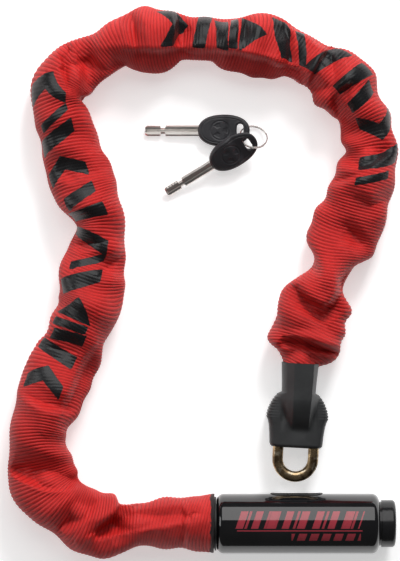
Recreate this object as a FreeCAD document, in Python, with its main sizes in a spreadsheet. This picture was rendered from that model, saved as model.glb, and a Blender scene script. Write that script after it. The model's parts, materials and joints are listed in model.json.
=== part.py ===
import FreeCAD, Part
import math
import os

import Sketcher
from FreeCAD import Placement, Rotation, Vector

# A chain lock, lying flat with its key beside it. The frame: +Z is up, z = 0 is the surface that the
# lock lies on, +X runs along the barrel from its chain end to its key end, and the origin is under
# the middle of the whole lock.

os.makedirs("parts", exist_ok=True)
doc = FreeCAD.newDocument("chain_lock")
ORIGIN = Vector(0, 0, 0)
AXIS_X, AXIS_Y, AXIS_Z = Vector(1, 0, 0), Vector(0, 1, 0), Vector(0, 0, 1)

# ---------------------------------------------------------------- driving dimensions (mm, degrees)

SIZES = [
    ("wire", 7.0, "side of the chain's square section"),
    ("wire_round", 1.6, "rounding along the wire's four edges"),
    ("link_inner", 10.0, "inside width of a chain link"),
    ("link_pitch", 34.1, "mean pitch of the chain"),
    ("chain_height", 14.5, "height of the chain's axis where it lies flat"),
    ("end_link_width", 30.0, "outside width of the link that enters the barrel"),
    ("end_link_reach", 28.8, "between the two bend centres of that link"),
    ("barrel_radius", 19.5, "outside radius of the barrel"),
    ("barrel_length", 105.4, "length of the barrel's shell"),
    ("barrel_x", 9.7, "chain end of the barrel"),
    ("barrel_y", -157.0, "axis of the barrel"),
    ("shell_wall", 2.6, "side wall of the shell"),
    ("shell_end", 3.0, "end walls of the shell"),
    ("shell_round", 4.8, "rounding of the shell's two ends"),
    ("mouth_radius", 13.6, "opening for the chain"),
    ("cap_opening", 14.2, "radius of the opening for the key cap"),
    ("anchor_x", 12.05, "anchor pin, from the barrel's chain end"),
    ("anchor_radius", 4.0, "radius of the anchor pin"),
    ("throat_x", 51.9, "middle of the throat, from the barrel's chain end"),
    ("throat_length", 31.5, "throat, along the barrel"),
    ("throat_height", 8.4, "throat, across the barrel"),
    ("bezel_wall", 1.2, "wall of the throat's bezel"),
    ("bezel_proud", 0.5, "how far the bezel stands out of the shell"),
    ("play", 0.1, "radial play of turning parts"),
    ("rotor_radius", 12.0, "radius of the locking rotor"),
    ("rotor_bore", 5.6, "hollow of the rotor that holds the end link's tip"),
    ("rotor_length", 38.0, "length of the locking rotor"),
    ("tail_thin", 5.0, "drive tail, short side"),
    ("tail_wide", 9.0, "drive tail, long side"),
    ("tail_play", 0.1, "room round the drive tail in its sockets"),
    ("hook_length", 14.0, "length of the rotor's hook, inside the end link"),
    ("case_x", 74.0, "inner end of the cylinder case"),
    ("case_length", 27.0, "length of the cylinder case"),
    ("pin_x", 94.0, "roll pins, from the barrel's chain end"),
    ("pin_aside", 12.0, "roll pins, from the barrel's axis"),
    ("pin_radius", 1.5, "radius of a roll pin"),
    ("core_radius", 8.6, "radius of the cylinder core"),
    ("disc_radius", 6.3, "radius of a detainer disc"),
    ("disc_thick", 1.5, "thickness of a detainer disc"),
    ("spacer_thick", 0.7, "thickness of a spacer"),
    ("disc_count", 8, "detainer discs"),
    ("keyway_wide", 7.5, "keyway, long side"),
    ("keyway_thin", 2.6, "keyway, short side"),
    ("cap_radius", 15.3, "radius of the key cap"),
    ("cap_length", 9.0, "length of the key cap's head"),
    ("cap_neck", 1.4, "groove between the shell and the key cap"),
    ("cap_hole", 8.4, "radius of the hole to the keyway"),
    ("cover_radius", 9.6, "radius of the dust cover"),
    ("cover_thick", 1.2, "thickness of the dust cover"),
    ("cover_ring_thick", 0.7, "thickness of the ring that keeps the dust cover in"),
    ("cover_ring_inner", 8.7, "inside radius of that ring"),
    ("sleeve_wall", 1.8, "wall of the fabric sleeve"),
    ("sleeve_gap", 0.5, "between two neighbouring stretches of the sleeve"),
    ("boot_set", 9.0, "from the boot's top back to the hinge of its chain link"),
    ("boot_length", 54.3, "length of the rubber boot"),
    ("boot_tall", 29.0, "height of the rubber boot"),
    ("boot_chamfer", 3.0, "bevel along the boot's edges"),
    ("bow_long", 34.0, "length of a key's bow"),
    ("bow_wide", 21.0, "width of a key's bow"),
    ("bow_thick", 5.4, "thickness of a key's bow"),
    ("eye_thick", 2.6, "thickness of the bow round its ring hole"),
    ("bow_edge", 6.0, "from the bow's far end to the middle of its ring hole"),
    ("ring_slot_long", 9.6, "length of the bow's ring hole"),
    ("ring_slot_wide", 6.4, "width of the bow's ring hole"),
    ("blade_long", 34.5, "length of a key's blade outside the bow"),
    ("blade_wide", 7.0, "width of a key's blade"),
    ("blade_thick", 2.3, "thickness of a key's blade"),
    ("ring_radius", 9.0, "radius of the split ring, to the middle of its wire"),
    ("ring_wire", 0.8, "radius of the split ring's section"),
]

sheet = doc.addObject("Spreadsheet::Sheet", "Sizes")
for row, (alias, number, meaning) in enumerate(SIZES, start=1):
    sheet.set(f"A{row}", meaning)
    sheet.set(f"B{row}", str(number))
    sheet.setAlias(f"B{row}", alias)
doc.recompute()


class Size:
    """A length kept twice: as a number, and as the sheet expression that gives it."""

    def __init__(self, value, text):
        self.value, self.text = float(value), text

    def __add__(self, other):
        other = as_size(other)
        return Size(self.value + other.value, f"({self.text} + {other.text})")

    def __sub__(self, other):
        other = as_size(other)
        return Size(self.value - other.value, f"({self.text} - {other.text})")

    def __mul__(self, factor):
        return Size(self.value * factor, f"({self.text} * {factor})")

    def __truediv__(self, divisor):
        return self * (1 / divisor)

    def __neg__(self):
        return self * -1

    def __radd__(self, other):
        return as_size(other) + self

    def __rsub__(self, other):
        return as_size(other) - self


def as_size(value):
    return value if isinstance(value, Size) else Size(value, f"{float(value):.6f}")


def size(alias):
    return Size(float(sheet.get(alias)), f"Sizes.{alias}")


def bind(target, prop, value):
    """Gives a property a size, with the sheet expression behind it where there is one."""
    value = as_size(value)
    if "Sizes." in value.text:
        target.setExpression(prop, value.text)
    else:
        setattr(target, prop, value.value)


# ---------------------------------------------------------------- sketches and PartDesign features


def new_body(label):
    body = doc.addObject("PartDesign::Body", label)
    body.Label = label
    return body


def new_sketch(body, role, name):
    plane = next(f for f in body.Origin.OriginFeatures if f.Role == role)
    sketch = body.newObject("Sketcher::SketchObject", name)
    sketch.AttachmentSupport = [(plane, "")]
    sketch.MapMode = "FlatFace"
    return sketch


def hold(sketch, kind, *where, value):
    """Adds a dimension to a sketch and binds it to the sheet."""
    value = as_size(value)
    index = sketch.addConstraint(Sketcher.Constraint(kind, *where, value.value))
    if "Sizes." in value.text:
        sketch.setExpression(f"Constraints[{index}]", value.text)


def hold_point(sketch, edge, end, x, y):
    hold(sketch, "DistanceX", -1, 1, edge, end, value=x)
    hold(sketch, "DistanceY", -1, 1, edge, end, value=y)


def draw_polygon(sketch, points):
    corners = [(as_size(x), as_size(y)) for x, y in points]
    first, count = sketch.GeometryCount, len(corners)
    for i, (x, y) in enumerate(corners):
        far_x, far_y = corners[(i + 1) % count]
        line = Part.LineSegment(Vector(x.value, y.value, 0), Vector(far_x.value, far_y.value, 0))
        sketch.addGeometry(line, False)
    for i, (x, y) in enumerate(corners):
        joined = first + (i + 1) % count
        sketch.addConstraint(Sketcher.Constraint("Coincident", first + i, 2, joined, 1))
        hold_point(sketch, first + i, 1, x, y)


def draw_circle(sketch, x, y, radius):
    x, y, radius = as_size(x), as_size(y), as_size(radius)
    circle = Part.Circle(Vector(x.value, y.value, 0), AXIS_Z, radius.value)
    edge = sketch.addGeometry(circle, False)
    hold(sketch, "Radius", edge, value=radius)
    hold_point(sketch, edge, 3, x, y)


def draw_slot(sketch, half, radius, x=0, y=0):
    """A slot along the sketch's X: two half circles of one radius, their centres 2 x half apart."""
    half, radius, x, y = as_size(half), as_size(radius), as_size(x), as_size(y)
    right = Vector(x.value + half.value, y.value, 0)
    left = Vector(x.value - half.value, y.value, 0)
    up = Vector(0, radius.value, 0)
    quarter = math.pi / 2
    first = sketch.GeometryCount
    sketch.addGeometry(
        Part.ArcOfCircle(Part.Circle(right, AXIS_Z, radius.value), -quarter, quarter), False
    )
    sketch.addGeometry(Part.LineSegment(right + up, left + up), False)
    sketch.addGeometry(
        Part.ArcOfCircle(Part.Circle(left, AXIS_Z, radius.value), quarter, 3 * quarter), False
    )
    sketch.addGeometry(Part.LineSegment(left - up, right - up), False)
    for i in range(4):
        joined = first + (i + 1) % 4
        sketch.addConstraint(Sketcher.Constraint("Tangent", first + i, 2, joined, 1))
    hold(sketch, "Radius", first, value=radius)
    hold(sketch, "Radius", first + 2, value=radius)
    hold_point(sketch, first, 3, x + half, y)
    hold_point(sketch, first + 2, 3, x - half, y)


def pad(body, sketch, length, name, both=False):
    feature = body.newObject("PartDesign::Pad", name)
    feature.Profile = sketch
    bind(feature, "Length", length)
    if both:
        feature.SideType = "Symmetric"
    return feature


def pocket(body, sketch, length, name, both=True, flip=False):
    """Cuts a sketch out of the body, and stops if nothing was cut."""
    doc.recompute()
    before = body.Shape.Volume
    feature = body.newObject("PartDesign::Pocket", name)
    feature.Profile = sketch
    bind(feature, "Length", length)
    if both:
        feature.SideType = "Symmetric"
    feature.Reversed = flip
    doc.recompute()
    if not body.Shape.Volume < before:
        raise RuntimeError(f"{body.Label}: {name} cut nothing")
    return feature


def revolve(body, sketch, name):
    """Turns a sketch of the XZ plane once round the body's X axis."""
    feature = body.newObject("PartDesign::Revolution", name)
    feature.Profile = sketch
    feature.ReferenceAxis = (sketch, ["H_Axis"])
    feature.Angle = 360
    return feature


def dress(body, kind, base, amount, name, chosen=lambda edge: True):
    """A fillet or chamfer on those edges of a feature that the test picks."""
    doc.recompute()
    names = [f"Edge{i}" for i, e in enumerate(base.Shape.Edges, start=1) if chosen(e)]
    feature = body.newObject(f"PartDesign::{kind}", name)
    feature.Base = (base, names)
    bind(feature, "Radius" if kind == "Fillet" else "Size", amount)
    doc.recompute()
    return feature


def is_level(edge):
    """Picks the edges that lie in a plane of one height."""
    return abs(edge.BoundBox.ZLength) < 0.01


def circle_of(radius, x=None):
    """Picks the circular edges of one radius, at one place along X if it is given."""

    def chosen(edge):
        if not isinstance(edge.Curve, Part.Circle) or abs(edge.Curve.Radius - radius.value) > 0.01:
            return False
        return x is None or abs(edge.Curve.Center.x - x.value) < 0.01

    return chosen


# ---------------------------------------------------------------- Part primitives and booleans


def tube_along_x(name, x, radius, length, y=0, z=0):
    """A Part cylinder whose axis runs along +X from x."""
    rod = doc.addObject("Part::Cylinder", name)
    bind(rod, "Radius", radius)
    bind(rod, "Height", length)
    rod.Placement = Placement(ORIGIN, Rotation(AXIS_Y, 90))
    place_at(rod, x, y, z)
    return rod


def rod_along_z(name, x, y, z, radius, length):
    rod = doc.addObject("Part::Cylinder", name)
    bind(rod, "Radius", radius)
    bind(rod, "Height", length)
    place_at(rod, x, y, z)
    return rod


def block(name, low, high):
    """A Part box between two corners."""
    box = doc.addObject("Part::Box", name)
    for prop, a, b in zip(("Length", "Width", "Height"), low, high):
        bind(box, prop, as_size(b) - a)
    place_at(box, *low)
    return box


def place_at(piece, x, y, z):
    piece.Placement = Placement(
        Vector(as_size(x).value, as_size(y).value, as_size(z).value), piece.Placement.Rotation
    )
    for axis, value in zip("xyz", (x, y, z)):
        value = as_size(value)
        if "Sizes." in value.text:
            piece.setExpression(f".Placement.Base.{axis}", value.text)


def joined(name, pieces):
    union = doc.addObject("Part::MultiFuse", name)
    union.Shapes = pieces
    union.Refine = True
    return union


def ring_along_x(label, x, thick, inner_radius, outer_radius):
    """A flat ring across the X axis."""
    disc = tube_along_x(label + "_disc", x, outer_radius, thick)
    hole = tube_along_x(label + "_hole", x - 1, inner_radius, thick + 2)
    return less(label, disc, [hole])


def less(label, base, tools):
    """The base with the tools cut away, as the sub-part of that label."""
    cutter = tools[0] if len(tools) == 1 else joined(label + "_tools", tools)
    result = doc.addObject("Part::Cut", label)
    result.Base, result.Tool, result.Label = base, cutter, label
    result.Refine = True
    return result


finished = []
# The lengths below are drawn from a point beside the lock's middle; this brings the middle over it.
CENTRED = Placement(Vector(-1.37, 0.58, 0), Rotation())


def finish(piece, placement=Placement()):
    """Puts a sub-part in its place and notes that it is exported."""
    for axis in "xyz":
        piece.setExpression(f".Placement.Base.{axis}", None)
    piece.Placement = CENTRED * placement
    finished.append(piece)
    return piece


# ---------------------------------------------------------------- the barrel, along its own X axis

radius, length = size("barrel_radius"), size("barrel_length")
wall, end_wall, play = size("shell_wall"), size("shell_end"), size("play")
throat_x, throat_half = size("throat_x"), size("throat_length") / 2
throat_tall = size("throat_height")
cap_face = length + size("cap_neck") + size("cap_length")
in_barrel = Placement(
    Vector(size("barrel_x").value, size("barrel_y").value, radius.value), Rotation()
)


def slot_cutter(body, name, half, tall, reach):
    """A slot cut out of the barrel's +Y side, from the axis outwards."""
    sketch = new_sketch(body, "XZ_Plane", name + "_outline")
    draw_slot(sketch, half - tall / 2, tall / 2, x=throat_x)
    return pocket(body, sketch, reach, name, both=False)


def barrel_shell():
    """The glossy plastic shell: a round tube with rounded ends and a slot for the throat."""
    body = new_body("barrel_shell")
    sketch = new_sketch(body, "XZ_Plane", "shell_section")
    inner = radius - wall
    draw_polygon(
        sketch,
        [
            (0, size("mouth_radius")),
            (0, radius),
            (length, radius),
            (length, size("cap_opening")),
            (length - end_wall, size("cap_opening")),
            (length - end_wall, inner),
            (end_wall, inner),
            (end_wall, size("mouth_radius")),
        ],
    )
    ring = revolve(body, sketch, "shell_ring")
    dress(body, "Fillet", ring, size("shell_round"), "shell_ends", circle_of(radius))
    bezel = size("bezel_wall")
    slot_cutter(body, "shell_slot", throat_half + bezel, throat_tall + bezel * 2, radius + 1)
    finish(body, in_barrel)


def throat_bezel():
    """The brass-coloured lining of the throat, standing a little out of the shell."""
    body = new_body("throat_bezel")
    sketch = new_sketch(body, "XZ_Plane", "bezel_outline")
    edge = size("bezel_wall")
    outer = throat_tall / 2 + edge
    draw_slot(sketch, throat_half + edge - outer, outer, x=throat_x)
    draw_slot(sketch, throat_half - throat_tall / 2, throat_tall / 2, x=throat_x)
    block_of_brass = pad(body, sketch, radius + 2, "bezel_block")
    block_of_brass.Reversed = True
    doc.recompute()
    skin = new_sketch(body, "YZ_Plane", "bezel_trim")
    draw_circle(skin, 0, 0, radius + 6)
    draw_circle(skin, 0, 0, radius + size("bezel_proud"))
    pocket(body, skin, length * 3, "bezel_outside")
    core = new_sketch(body, "YZ_Plane", "bezel_foot")
    draw_circle(core, 0, 0, radius - wall)
    pocket(body, core, length * 3, "bezel_inside")
    finish(body, in_barrel)


def pin_rods(name, low, high):
    """The two upright rods of the roll pins, or of their holes, on both sides of the axis."""
    return [
        rod_along_z(f"{name}_{side}", size("pin_x"), y, low, size("pin_radius"), high - low)
        for side, y in (("a", -size("pin_aside")), ("b", size("pin_aside")))
    ]


def lock_housing():
    """The hardened body inside the shell, bored for the chain, the throat, the rotor and the lock."""
    housing_radius = radius - wall - play
    start = end_wall + play
    shape = tube_along_x("housing_bar", start, housing_radius, length - end_wall * 2 - play * 2)
    chain_pocket = block(
        "housing_chain_pocket",
        (0, -12.8, -4.0),
        (size("anchor_x") + 13.2, 12.8, 4.0),
    )
    anchor = rod_along_z(
        "housing_anchor_hole", size("anchor_x"), 0, -radius, size("anchor_radius"), radius * 2
    )
    throat = block(
        "housing_throat",
        (throat_x - throat_half, -5.0, -(throat_tall / 2)),
        (throat_x + throat_half, radius, throat_tall / 2),
    )
    rotor_x = throat_x - size("rotor_length") / 2
    bore = tube_along_x("housing_bore", rotor_x - play * 2, size("rotor_radius") + play, length)
    pins = pin_rods("housing_pin_hole", -radius, radius)
    finish(
        less("lock_housing", shape, [chain_pocket, anchor, throat, bore, *pins]),
        in_barrel,
    )


def anchor_pin():
    """The pin across the housing that holds the first link."""
    reach = 32.0
    pin = rod_along_z("anchor_pin", size("anchor_x"), 0, -reach / 2, size("anchor_radius"), reach)
    finish(pin, in_barrel * pin.Placement)


def case_pins():
    """Two roll pins that hold the cylinder case in the housing, half in each."""
    pair = doc.addObject("Part::Compound", "case_pins")
    pair.Links = pin_rods("case_pin", as_size(-9.5), 9.5)
    finish(pair, in_barrel)


def cylinder_case():
    """The steel case that the cylinder core turns in, notched for its two roll pins."""
    shape = tube_along_x("case_bar", size("case_x"), size("rotor_radius"), size("case_length"))
    bore = tube_along_x("case_bore", 0, size("core_radius") + play / 2, length * 2)
    notches = pin_rods("case_notch", -radius, radius)
    groove = block(
        "case_sidebar_groove",
        (size("case_x") + 2.6, -1.05, 6.0),
        (size("case_x") + 22.4, 1.05, size("core_radius") + 1.2),
    )
    finish(less("cylinder_case", shape, [bore, groove, *notches]), in_barrel)


def tail_block(name, low, high, room):
    """The flat bar of the drive tail along X, or its socket with room round it."""
    thin, wide = size("tail_thin") / 2 + room, size("tail_wide") / 2 + room
    return block(name, (low, -thin, -wide), (high, thin, wide))


stack_x = size("case_x") + 3.0
stack_step = size("disc_thick") + size("spacer_thick")


def cylinder_core():
    """The plug: a tube with a keyway in its face, holding the stack of discs."""
    start = size("case_x") - 2.0
    shape = tube_along_x("core_bar", start, size("core_radius"), size("case_length") + 2.0)
    stack = tube_along_x(
        "core_stack_bore",
        stack_x,
        size("disc_radius") + play,
        stack_step * size("disc_count").value + size("spacer_thick") + 0.2,
    )
    keyway = block(
        "core_keyway",
        (stack_x, -(size("keyway_thin") / 2), -(size("keyway_wide") / 2)),
        (length * 2, size("keyway_thin") / 2, size("keyway_wide") / 2),
    )
    slot = block(
        "core_sidebar_slot",
        (size("case_x") + 2.8, -0.9, 5.0),
        (size("case_x") + 22.2, 0.9, radius),
    )
    socket = tail_block("core_tail_socket", 0, size("case_x") + 1.0, size("tail_play"))
    groove = ring_along_x("core_clip_groove", size("case_x") - 1.3, 1.0, 7.7, 12.0)
    finish(less("cylinder_core", shape, [stack, keyway, slot, socket, groove]), in_barrel)


def core_clip():
    """The snap ring behind the case that keeps the core in."""
    finish(ring_along_x("core_clip", size("case_x") - 1.2, 0.8, 7.8, 10.8), in_barrel)


def disc_group(label, first_x, thick, count, outer):
    """Identical discs with a key slot and a gate at the rim, in a row along the core."""
    discs = []
    for i in range(count):
        x = first_x + stack_step * i
        disc = tube_along_x(f"{label}_{i}", x, outer, thick)
        slot = block(
            f"{label}_slot_{i}",
            (x - 1, -(size("keyway_thin") / 2), -(size("keyway_wide") / 2)),
            (x + thick + 1, size("keyway_thin") / 2, size("keyway_wide") / 2),
        )
        gate = block(f"{label}_gate_{i}", (x - 1, -1.0, outer - 1.2), (x + thick + 1, 1.0, 8))
        discs.append(less(f"{label}_{i}_cut", disc, [slot, gate]))
    group = doc.addObject("Part::Compound", label)
    group.Links = discs
    finish(group, in_barrel)


def sidebar():
    """The bar that locks the core to its case; here it has dropped into the discs' gates."""
    x, foot = size("case_x") + 3.0, 5.7
    bar = block("sidebar", (x, -0.8, foot), (x + 19.0, 0.8, foot + 2.8))
    finish(bar, in_barrel * bar.Placement)


def drive_tail():
    """The flat bar that carries the core's turn to the rotor."""
    start = throat_x + size("rotor_length") / 2 - 2.0
    bar = tail_block("drive_tail", start, size("case_x") + 0.8, 0)
    finish(bar, in_barrel * bar.Placement)


def locking_rotor():
    """A drum with a hook in the middle: a quarter turn shuts the hook through the end link."""
    half = size("rotor_length") / 2
    shape = tube_along_x("rotor_drum", throat_x - half, size("rotor_radius"), half * 2)
    hollow = tube_along_x("rotor_hollow", throat_x - throat_half, size("rotor_bore"), throat_half * 2)
    channel = block(
        "rotor_channel",
        (throat_x - throat_half, 0, -(throat_tall / 2)),
        (throat_x + throat_half, radius, throat_tall / 2),
    )
    beside = []
    hook = size("hook_length") / 2
    for side, low, high in (
        ("left", throat_x - throat_half, throat_x - hook),
        ("right", throat_x + hook, throat_x + throat_half),
    ):
        beside.append(
            block(
                f"rotor_beside_{side}",
                (low, -(throat_tall / 2), -radius),
                (high, radius, throat_tall / 2),
            )
        )
    socket = tail_block("rotor_tail_socket", throat_x + half - 2.2, length, size("tail_play"))
    finish(less("locking_rotor", shape, [hollow, channel, *beside, socket]), in_barrel)


cover_seat = cap_face - size("cover_ring_thick") - size("cover_thick") - play * 3


def key_cap():
    """The plastic cap at the key end, with a neck that seats in the shell."""
    body = new_body("key_cap")
    sketch = new_sketch(body, "XZ_Plane", "cap_section")
    hole, neck = size("cap_hole"), size("cap_opening") - play
    face, head = cap_face, cap_face - size("cap_length")
    draw_polygon(
        sketch,
        [
            (length - end_wall + play, hole),
            (length - end_wall + play, neck),
            (head, neck),
            (head, size("cap_radius")),
            (face, size("cap_radius")),
            (face, size("cover_radius") + play * 2),
            (cover_seat, size("cover_radius") + play * 2),
            (cover_seat, hole),
        ],
    )
    ring = revolve(body, sketch, "cap_ring")
    dress(body, "Fillet", ring, 2.4, "cap_rim", circle_of(size("cap_radius"), face))
    finish(body, in_barrel)


def dust_cover():
    """The round cover over the keyway: a quarter turn lines its slot up with the keyway."""
    body = new_body("dust_cover")
    sketch = new_sketch(body, "YZ_Plane", "cover_outline")
    draw_circle(sketch, 0, 0, size("cover_radius"))
    slot_end = size("keyway_thin") / 2 + play
    draw_slot(sketch, size("keyway_wide") / 2 + play - slot_end, slot_end)
    pad(body, sketch, size("cover_thick"), "cover_disc")
    doc.recompute()
    finish(body, in_barrel * Placement(Vector((cover_seat + play).value, 0, 0), Rotation()))


def cover_ring():
    """The thin steel ring that keeps the dust cover in the cap."""
    x = cap_face - size("cover_ring_thick")
    outer = size("cover_radius") + play * 2
    finish(
        ring_along_x("cover_ring", x, size("cover_ring_thick"), size("cover_ring_inner"), outer),
        in_barrel,
    )


def sleeve_collar():
    """The spigot on the barrel's chain end that the sleeve is drawn over."""
    shape = tube_along_x("collar_bar", -4.0, 16.2, size("shell_end"))
    bore = tube_along_x("collar_bore", -9.0, size("mouth_radius"), 20)
    flange = tube_along_x("collar_flange", -1.2, 17.4, 1.1)
    finish(less("sleeve_collar", joined("collar_body", [shape, flange]), [bore]), in_barrel)


barrel_shell()
throat_bezel()
lock_housing()
anchor_pin()
case_pins()
cylinder_case()
cylinder_core()
disc_total = int(size("disc_count").value)
spacer = size("spacer_thick")
disc_group("detainer_discs", stack_x + spacer + 0.05, size("disc_thick") - 0.1, disc_total,
           size("disc_radius"))
disc_group("disc_spacers", stack_x + 0.05, spacer - 0.1, disc_total, size("disc_radius") + play)
sidebar()
drive_tail()
locking_rotor()
core_clip()
key_cap()
dust_cover()
cover_ring()
sleeve_collar()

# ---------------------------------------------------------------- the chain

wire, inner = size("wire").value, size("link_inner").value
flat_step = size("link_pitch").value - (inner + wire) / 2
edge_step = size("link_pitch").value + (inner + wire) / 2
LINKS = 24

# The chain's way round, from the anchor pin to the end link, seen from above.
ROUTE = [
    (21.75, -157), (-10, -157), (-45, -159), (-75, -155), (-97, -138), (-106, -111),
    (-101, -82), (-89, -50), (-76, -17), (-68, 15), (-69, 45), (-80, 75), (-89, 100),
    (-89, 124), (-73, 143), (-42, 155), (-5, 158), (32, 154), (64, 146), (90, 127),
    (106, 100), (108, 72), (100, 45), (89, 20), (79, -8), (70.5, -30), (64.2, -46),
    (62.4, -68), (62.4, -90),
]


def chain_height(gone):
    """The chain leaves the barrel at its axis and sinks to its lying height over a few links."""
    low, high = size("chain_height").value, size("barrel_radius").value
    share = min(max((gone - flat_step) / 130.0, 0.0), 1.0)
    return high + (low - high) * share * share * (3 - 2 * share)


def hinge_points():
    """Where the links turn on each other: each is one link's step along the route from the last."""
    curve = Part.BSplineCurve()
    curve.interpolate([Vector(x, y, 0) for x, y in ROUTE])
    at, gone = curve.FirstParameter, 0.0
    spot = curve.value(at)
    points = [Vector(spot.x, spot.y, chain_height(gone))]
    for number in range(1, LINKS + 1):
        step = flat_step if number % 2 else edge_step
        near, far = at, min(at + 60, curve.LastParameter)
        if curve.length(at, far) < step:
            raise RuntimeError("the route is too short for the chain")
        for _ in range(50):
            middle = (near + far) / 2
            if curve.value(middle).distanceToPoint(spot) < step:
                near = middle
            else:
                far = middle
        at, gone = far, gone + step
        spot = curve.value(at)
        points.append(Vector(spot.x, spot.y, chain_height(gone)))
    return points


hinges = hinge_points()


def along(start, end, lean=0):
    """A placement half way between two points, its X axis along them, rolled by lean degrees."""
    run = end - start
    heading = math.degrees(math.atan2(run.y, run.x))
    slope = math.degrees(math.atan2(run.z, math.hypot(run.x, run.y)))
    turn = Rotation(AXIS_Z, heading) * Rotation(AXIS_Y, -slope) * Rotation(AXIS_X, lean)
    return Placement((start + end) / 2, turn)


def make_link(label, half, inside):
    """A welded link of square wire, lying flat along X: its bend centres are 2 x half apart."""
    body = new_body(label)
    sketch = new_sketch(body, "XY_Plane", label + "_outline")
    draw_slot(sketch, half, inside + size("wire"))
    draw_slot(sketch, half, inside)
    ring = pad(body, sketch, size("wire"), label + "_ring", both=True)
    dress(body, "Fillet", ring, size("wire_round"), label + "_rounding", is_level)
    return body


link_half = (size("link_pitch") - (size("link_inner") + size("wire")) / 2) / 2
for number in range(1, LINKS + 1):
    link = make_link(f"link_{number:02d}", link_half, size("link_inner") / 2)
    on_edge = 0 if number % 2 else 90
    finish(link, along(hinges[number - 1], hinges[number], on_edge))

# ---------------------------------------------------------------- the sleeve, in stretches

SIDES = 12
# Half the width of the sleeve in each of its stretches, from the barrel to the boot.
HALF_WIDTHS = [17.5, 19.0, 20.0, 19.0, 19.5, 19.0, 19.0, 19.0, 19.0, 19.5, 19.0]


def section(centre, heading, stretch, half_width, half_tall, inset):
    """A closed twelve-sided section across the sleeve, standing on the surface it lies on."""
    side = Vector(-math.sin(heading), math.cos(heading), 0)
    corners = []
    for i in range(SIDES):
        angle = math.tau * (i + 0.5) / SIDES
        spread = (half_width - inset) * math.cos(angle) * stretch / math.cos(math.pi / SIDES)
        rise = (half_tall - inset) * math.sin(angle) / math.cos(math.pi / SIDES)
        corners.append(centre + side * spread + Vector(0, 0, rise))
    return Part.makePolygon(corners + corners[:1])


def bearing(start, end):
    return math.atan2(end.y - start.y, end.x - start.x)


def sleeve_stretch(number, stops, halves):
    """A hollow stretch of sleeve along straight runs between stops, mitred where it turns."""
    gap = size("sleeve_gap").value / 2
    runs = [bearing(a, b) for a, b in zip(stops, stops[1:])]
    turns = [math.remainder(b - a, math.tau) for a, b in zip(runs, runs[1:])]
    headings = [runs[0]] + [a + turn / 2 for a, turn in zip(runs, turns)] + [runs[-1]]
    mitres = [1.0] + [1 / math.cos(turn / 2) for turn in turns] + [1.0]
    centres = [Vector(stop) for stop in stops]
    centres[0] += Vector(math.cos(runs[0]), math.sin(runs[0]), 0) * gap
    centres[-1] -= Vector(math.cos(runs[-1]), math.sin(runs[-1]), 0) * gap
    skins = []
    for inset in (0.0, size("sleeve_wall").value):
        rings = [
            section(centre, heading, mitre, half, centre.z, inset)
            for centre, heading, mitre, half in zip(centres, headings, mitres, halves)
        ]
        skins.append(Part.makeLoft(rings, True, True))
    piece = doc.addObject("Part::Feature", f"sleeve_{number:02d}")
    piece.Shape = skins[0].cut(skins[1])
    finish(piece)


boot_top = hinges[-2] + (hinges[-1] - hinges[-2]).normalize() * size("boot_set").value
STRETCHES = LINKS // 2 - 1
for number in range(1, STRETCHES + 1):
    before, near, far, after = hinges[2 * number - 2 : 2 * number + 2]
    stops = [(before + near) / 2, near, far, (far + after) / 2]
    halves = [HALF_WIDTHS[number - 1]] * 4
    if number == 1:
        stops[0] = Vector(size("barrel_x").value - 1.2, near.y, near.z)
        halves = [19.5, 19.3, 19.0, 19.0]
    if number == STRETCHES:
        stops = stops[:3] + [after, boot_top]
        halves = [19.0, 19.0, 19.5, 18.0, 12.4]
    sleeve_stretch(number, stops, halves)

# ---------------------------------------------------------------- the boot and the end link

in_boot = Placement(boot_top, Rotation(AXIS_Z, math.degrees(bearing(hinges[-2], hinges[-1]))))

# Half the boot's width along its length: a neck, a ribbed flare and a shallow taper.
BOOT_OUTLINE = [
    (0.0, 11.8), (19.5, 11.2), (27.5, 16.4), (34.5, 19.8), (38.5, 19.6),
]


def end_boot():
    """The rubber boot moulded over the last chain link and the end link."""
    body = new_body("end_boot")
    sketch = new_sketch(body, "XY_Plane", "boot_outline")
    far = size("boot_length")
    side = BOOT_OUTLINE + [(far, 17.2)]
    draw_polygon(sketch, side + [(x, -half) for x, half in reversed(side)])
    block_of_rubber = pad(body, sketch, size("boot_tall"), "boot_block", both=True)
    dress(body, "Chamfer", block_of_rubber, size("boot_chamfer"), "boot_bevel", is_level)
    neck = new_sketch(body, "XY_Plane", "boot_neck_hollow")
    link_end = edge_step - size("boot_set").value + wire / 2 + 0.3
    slim = wire / 2 + 0.2
    half_neck = [(-5, 9.4), (3.6, 9.4), (3.6, slim), (link_end, slim)]
    draw_polygon(neck, half_neck + [(x, -half) for x, half in reversed(half_neck)])
    pocket(body, neck, inner + 2 * wire + 0.4, "boot_neck_pocket")
    seat = new_sketch(body, "XY_Plane", "boot_link_hollow")
    half_seat = [(18.0, 5.0), (20.5, 10.6), (25.5, 14.6), (30.0, 15.3), (60.0, 15.3)]
    draw_polygon(seat, half_seat + [(x, -half) for x, half in reversed(half_seat)])
    pocket(body, seat, size("wire") + 0.4, "boot_link_pocket")
    finish(body, in_boot)


end_boot()
end_half = size("end_link_reach") / 2
end_link = make_link("end_link", end_half, size("end_link_width") / 2 - size("wire"))
middle_of_end = edge_step - size("boot_set").value + end_half.value
finish(end_link, in_boot * Placement(Vector(middle_of_end, 0, 0), Rotation()))

# ---------------------------------------------------------------- the keys and their ring


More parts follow.
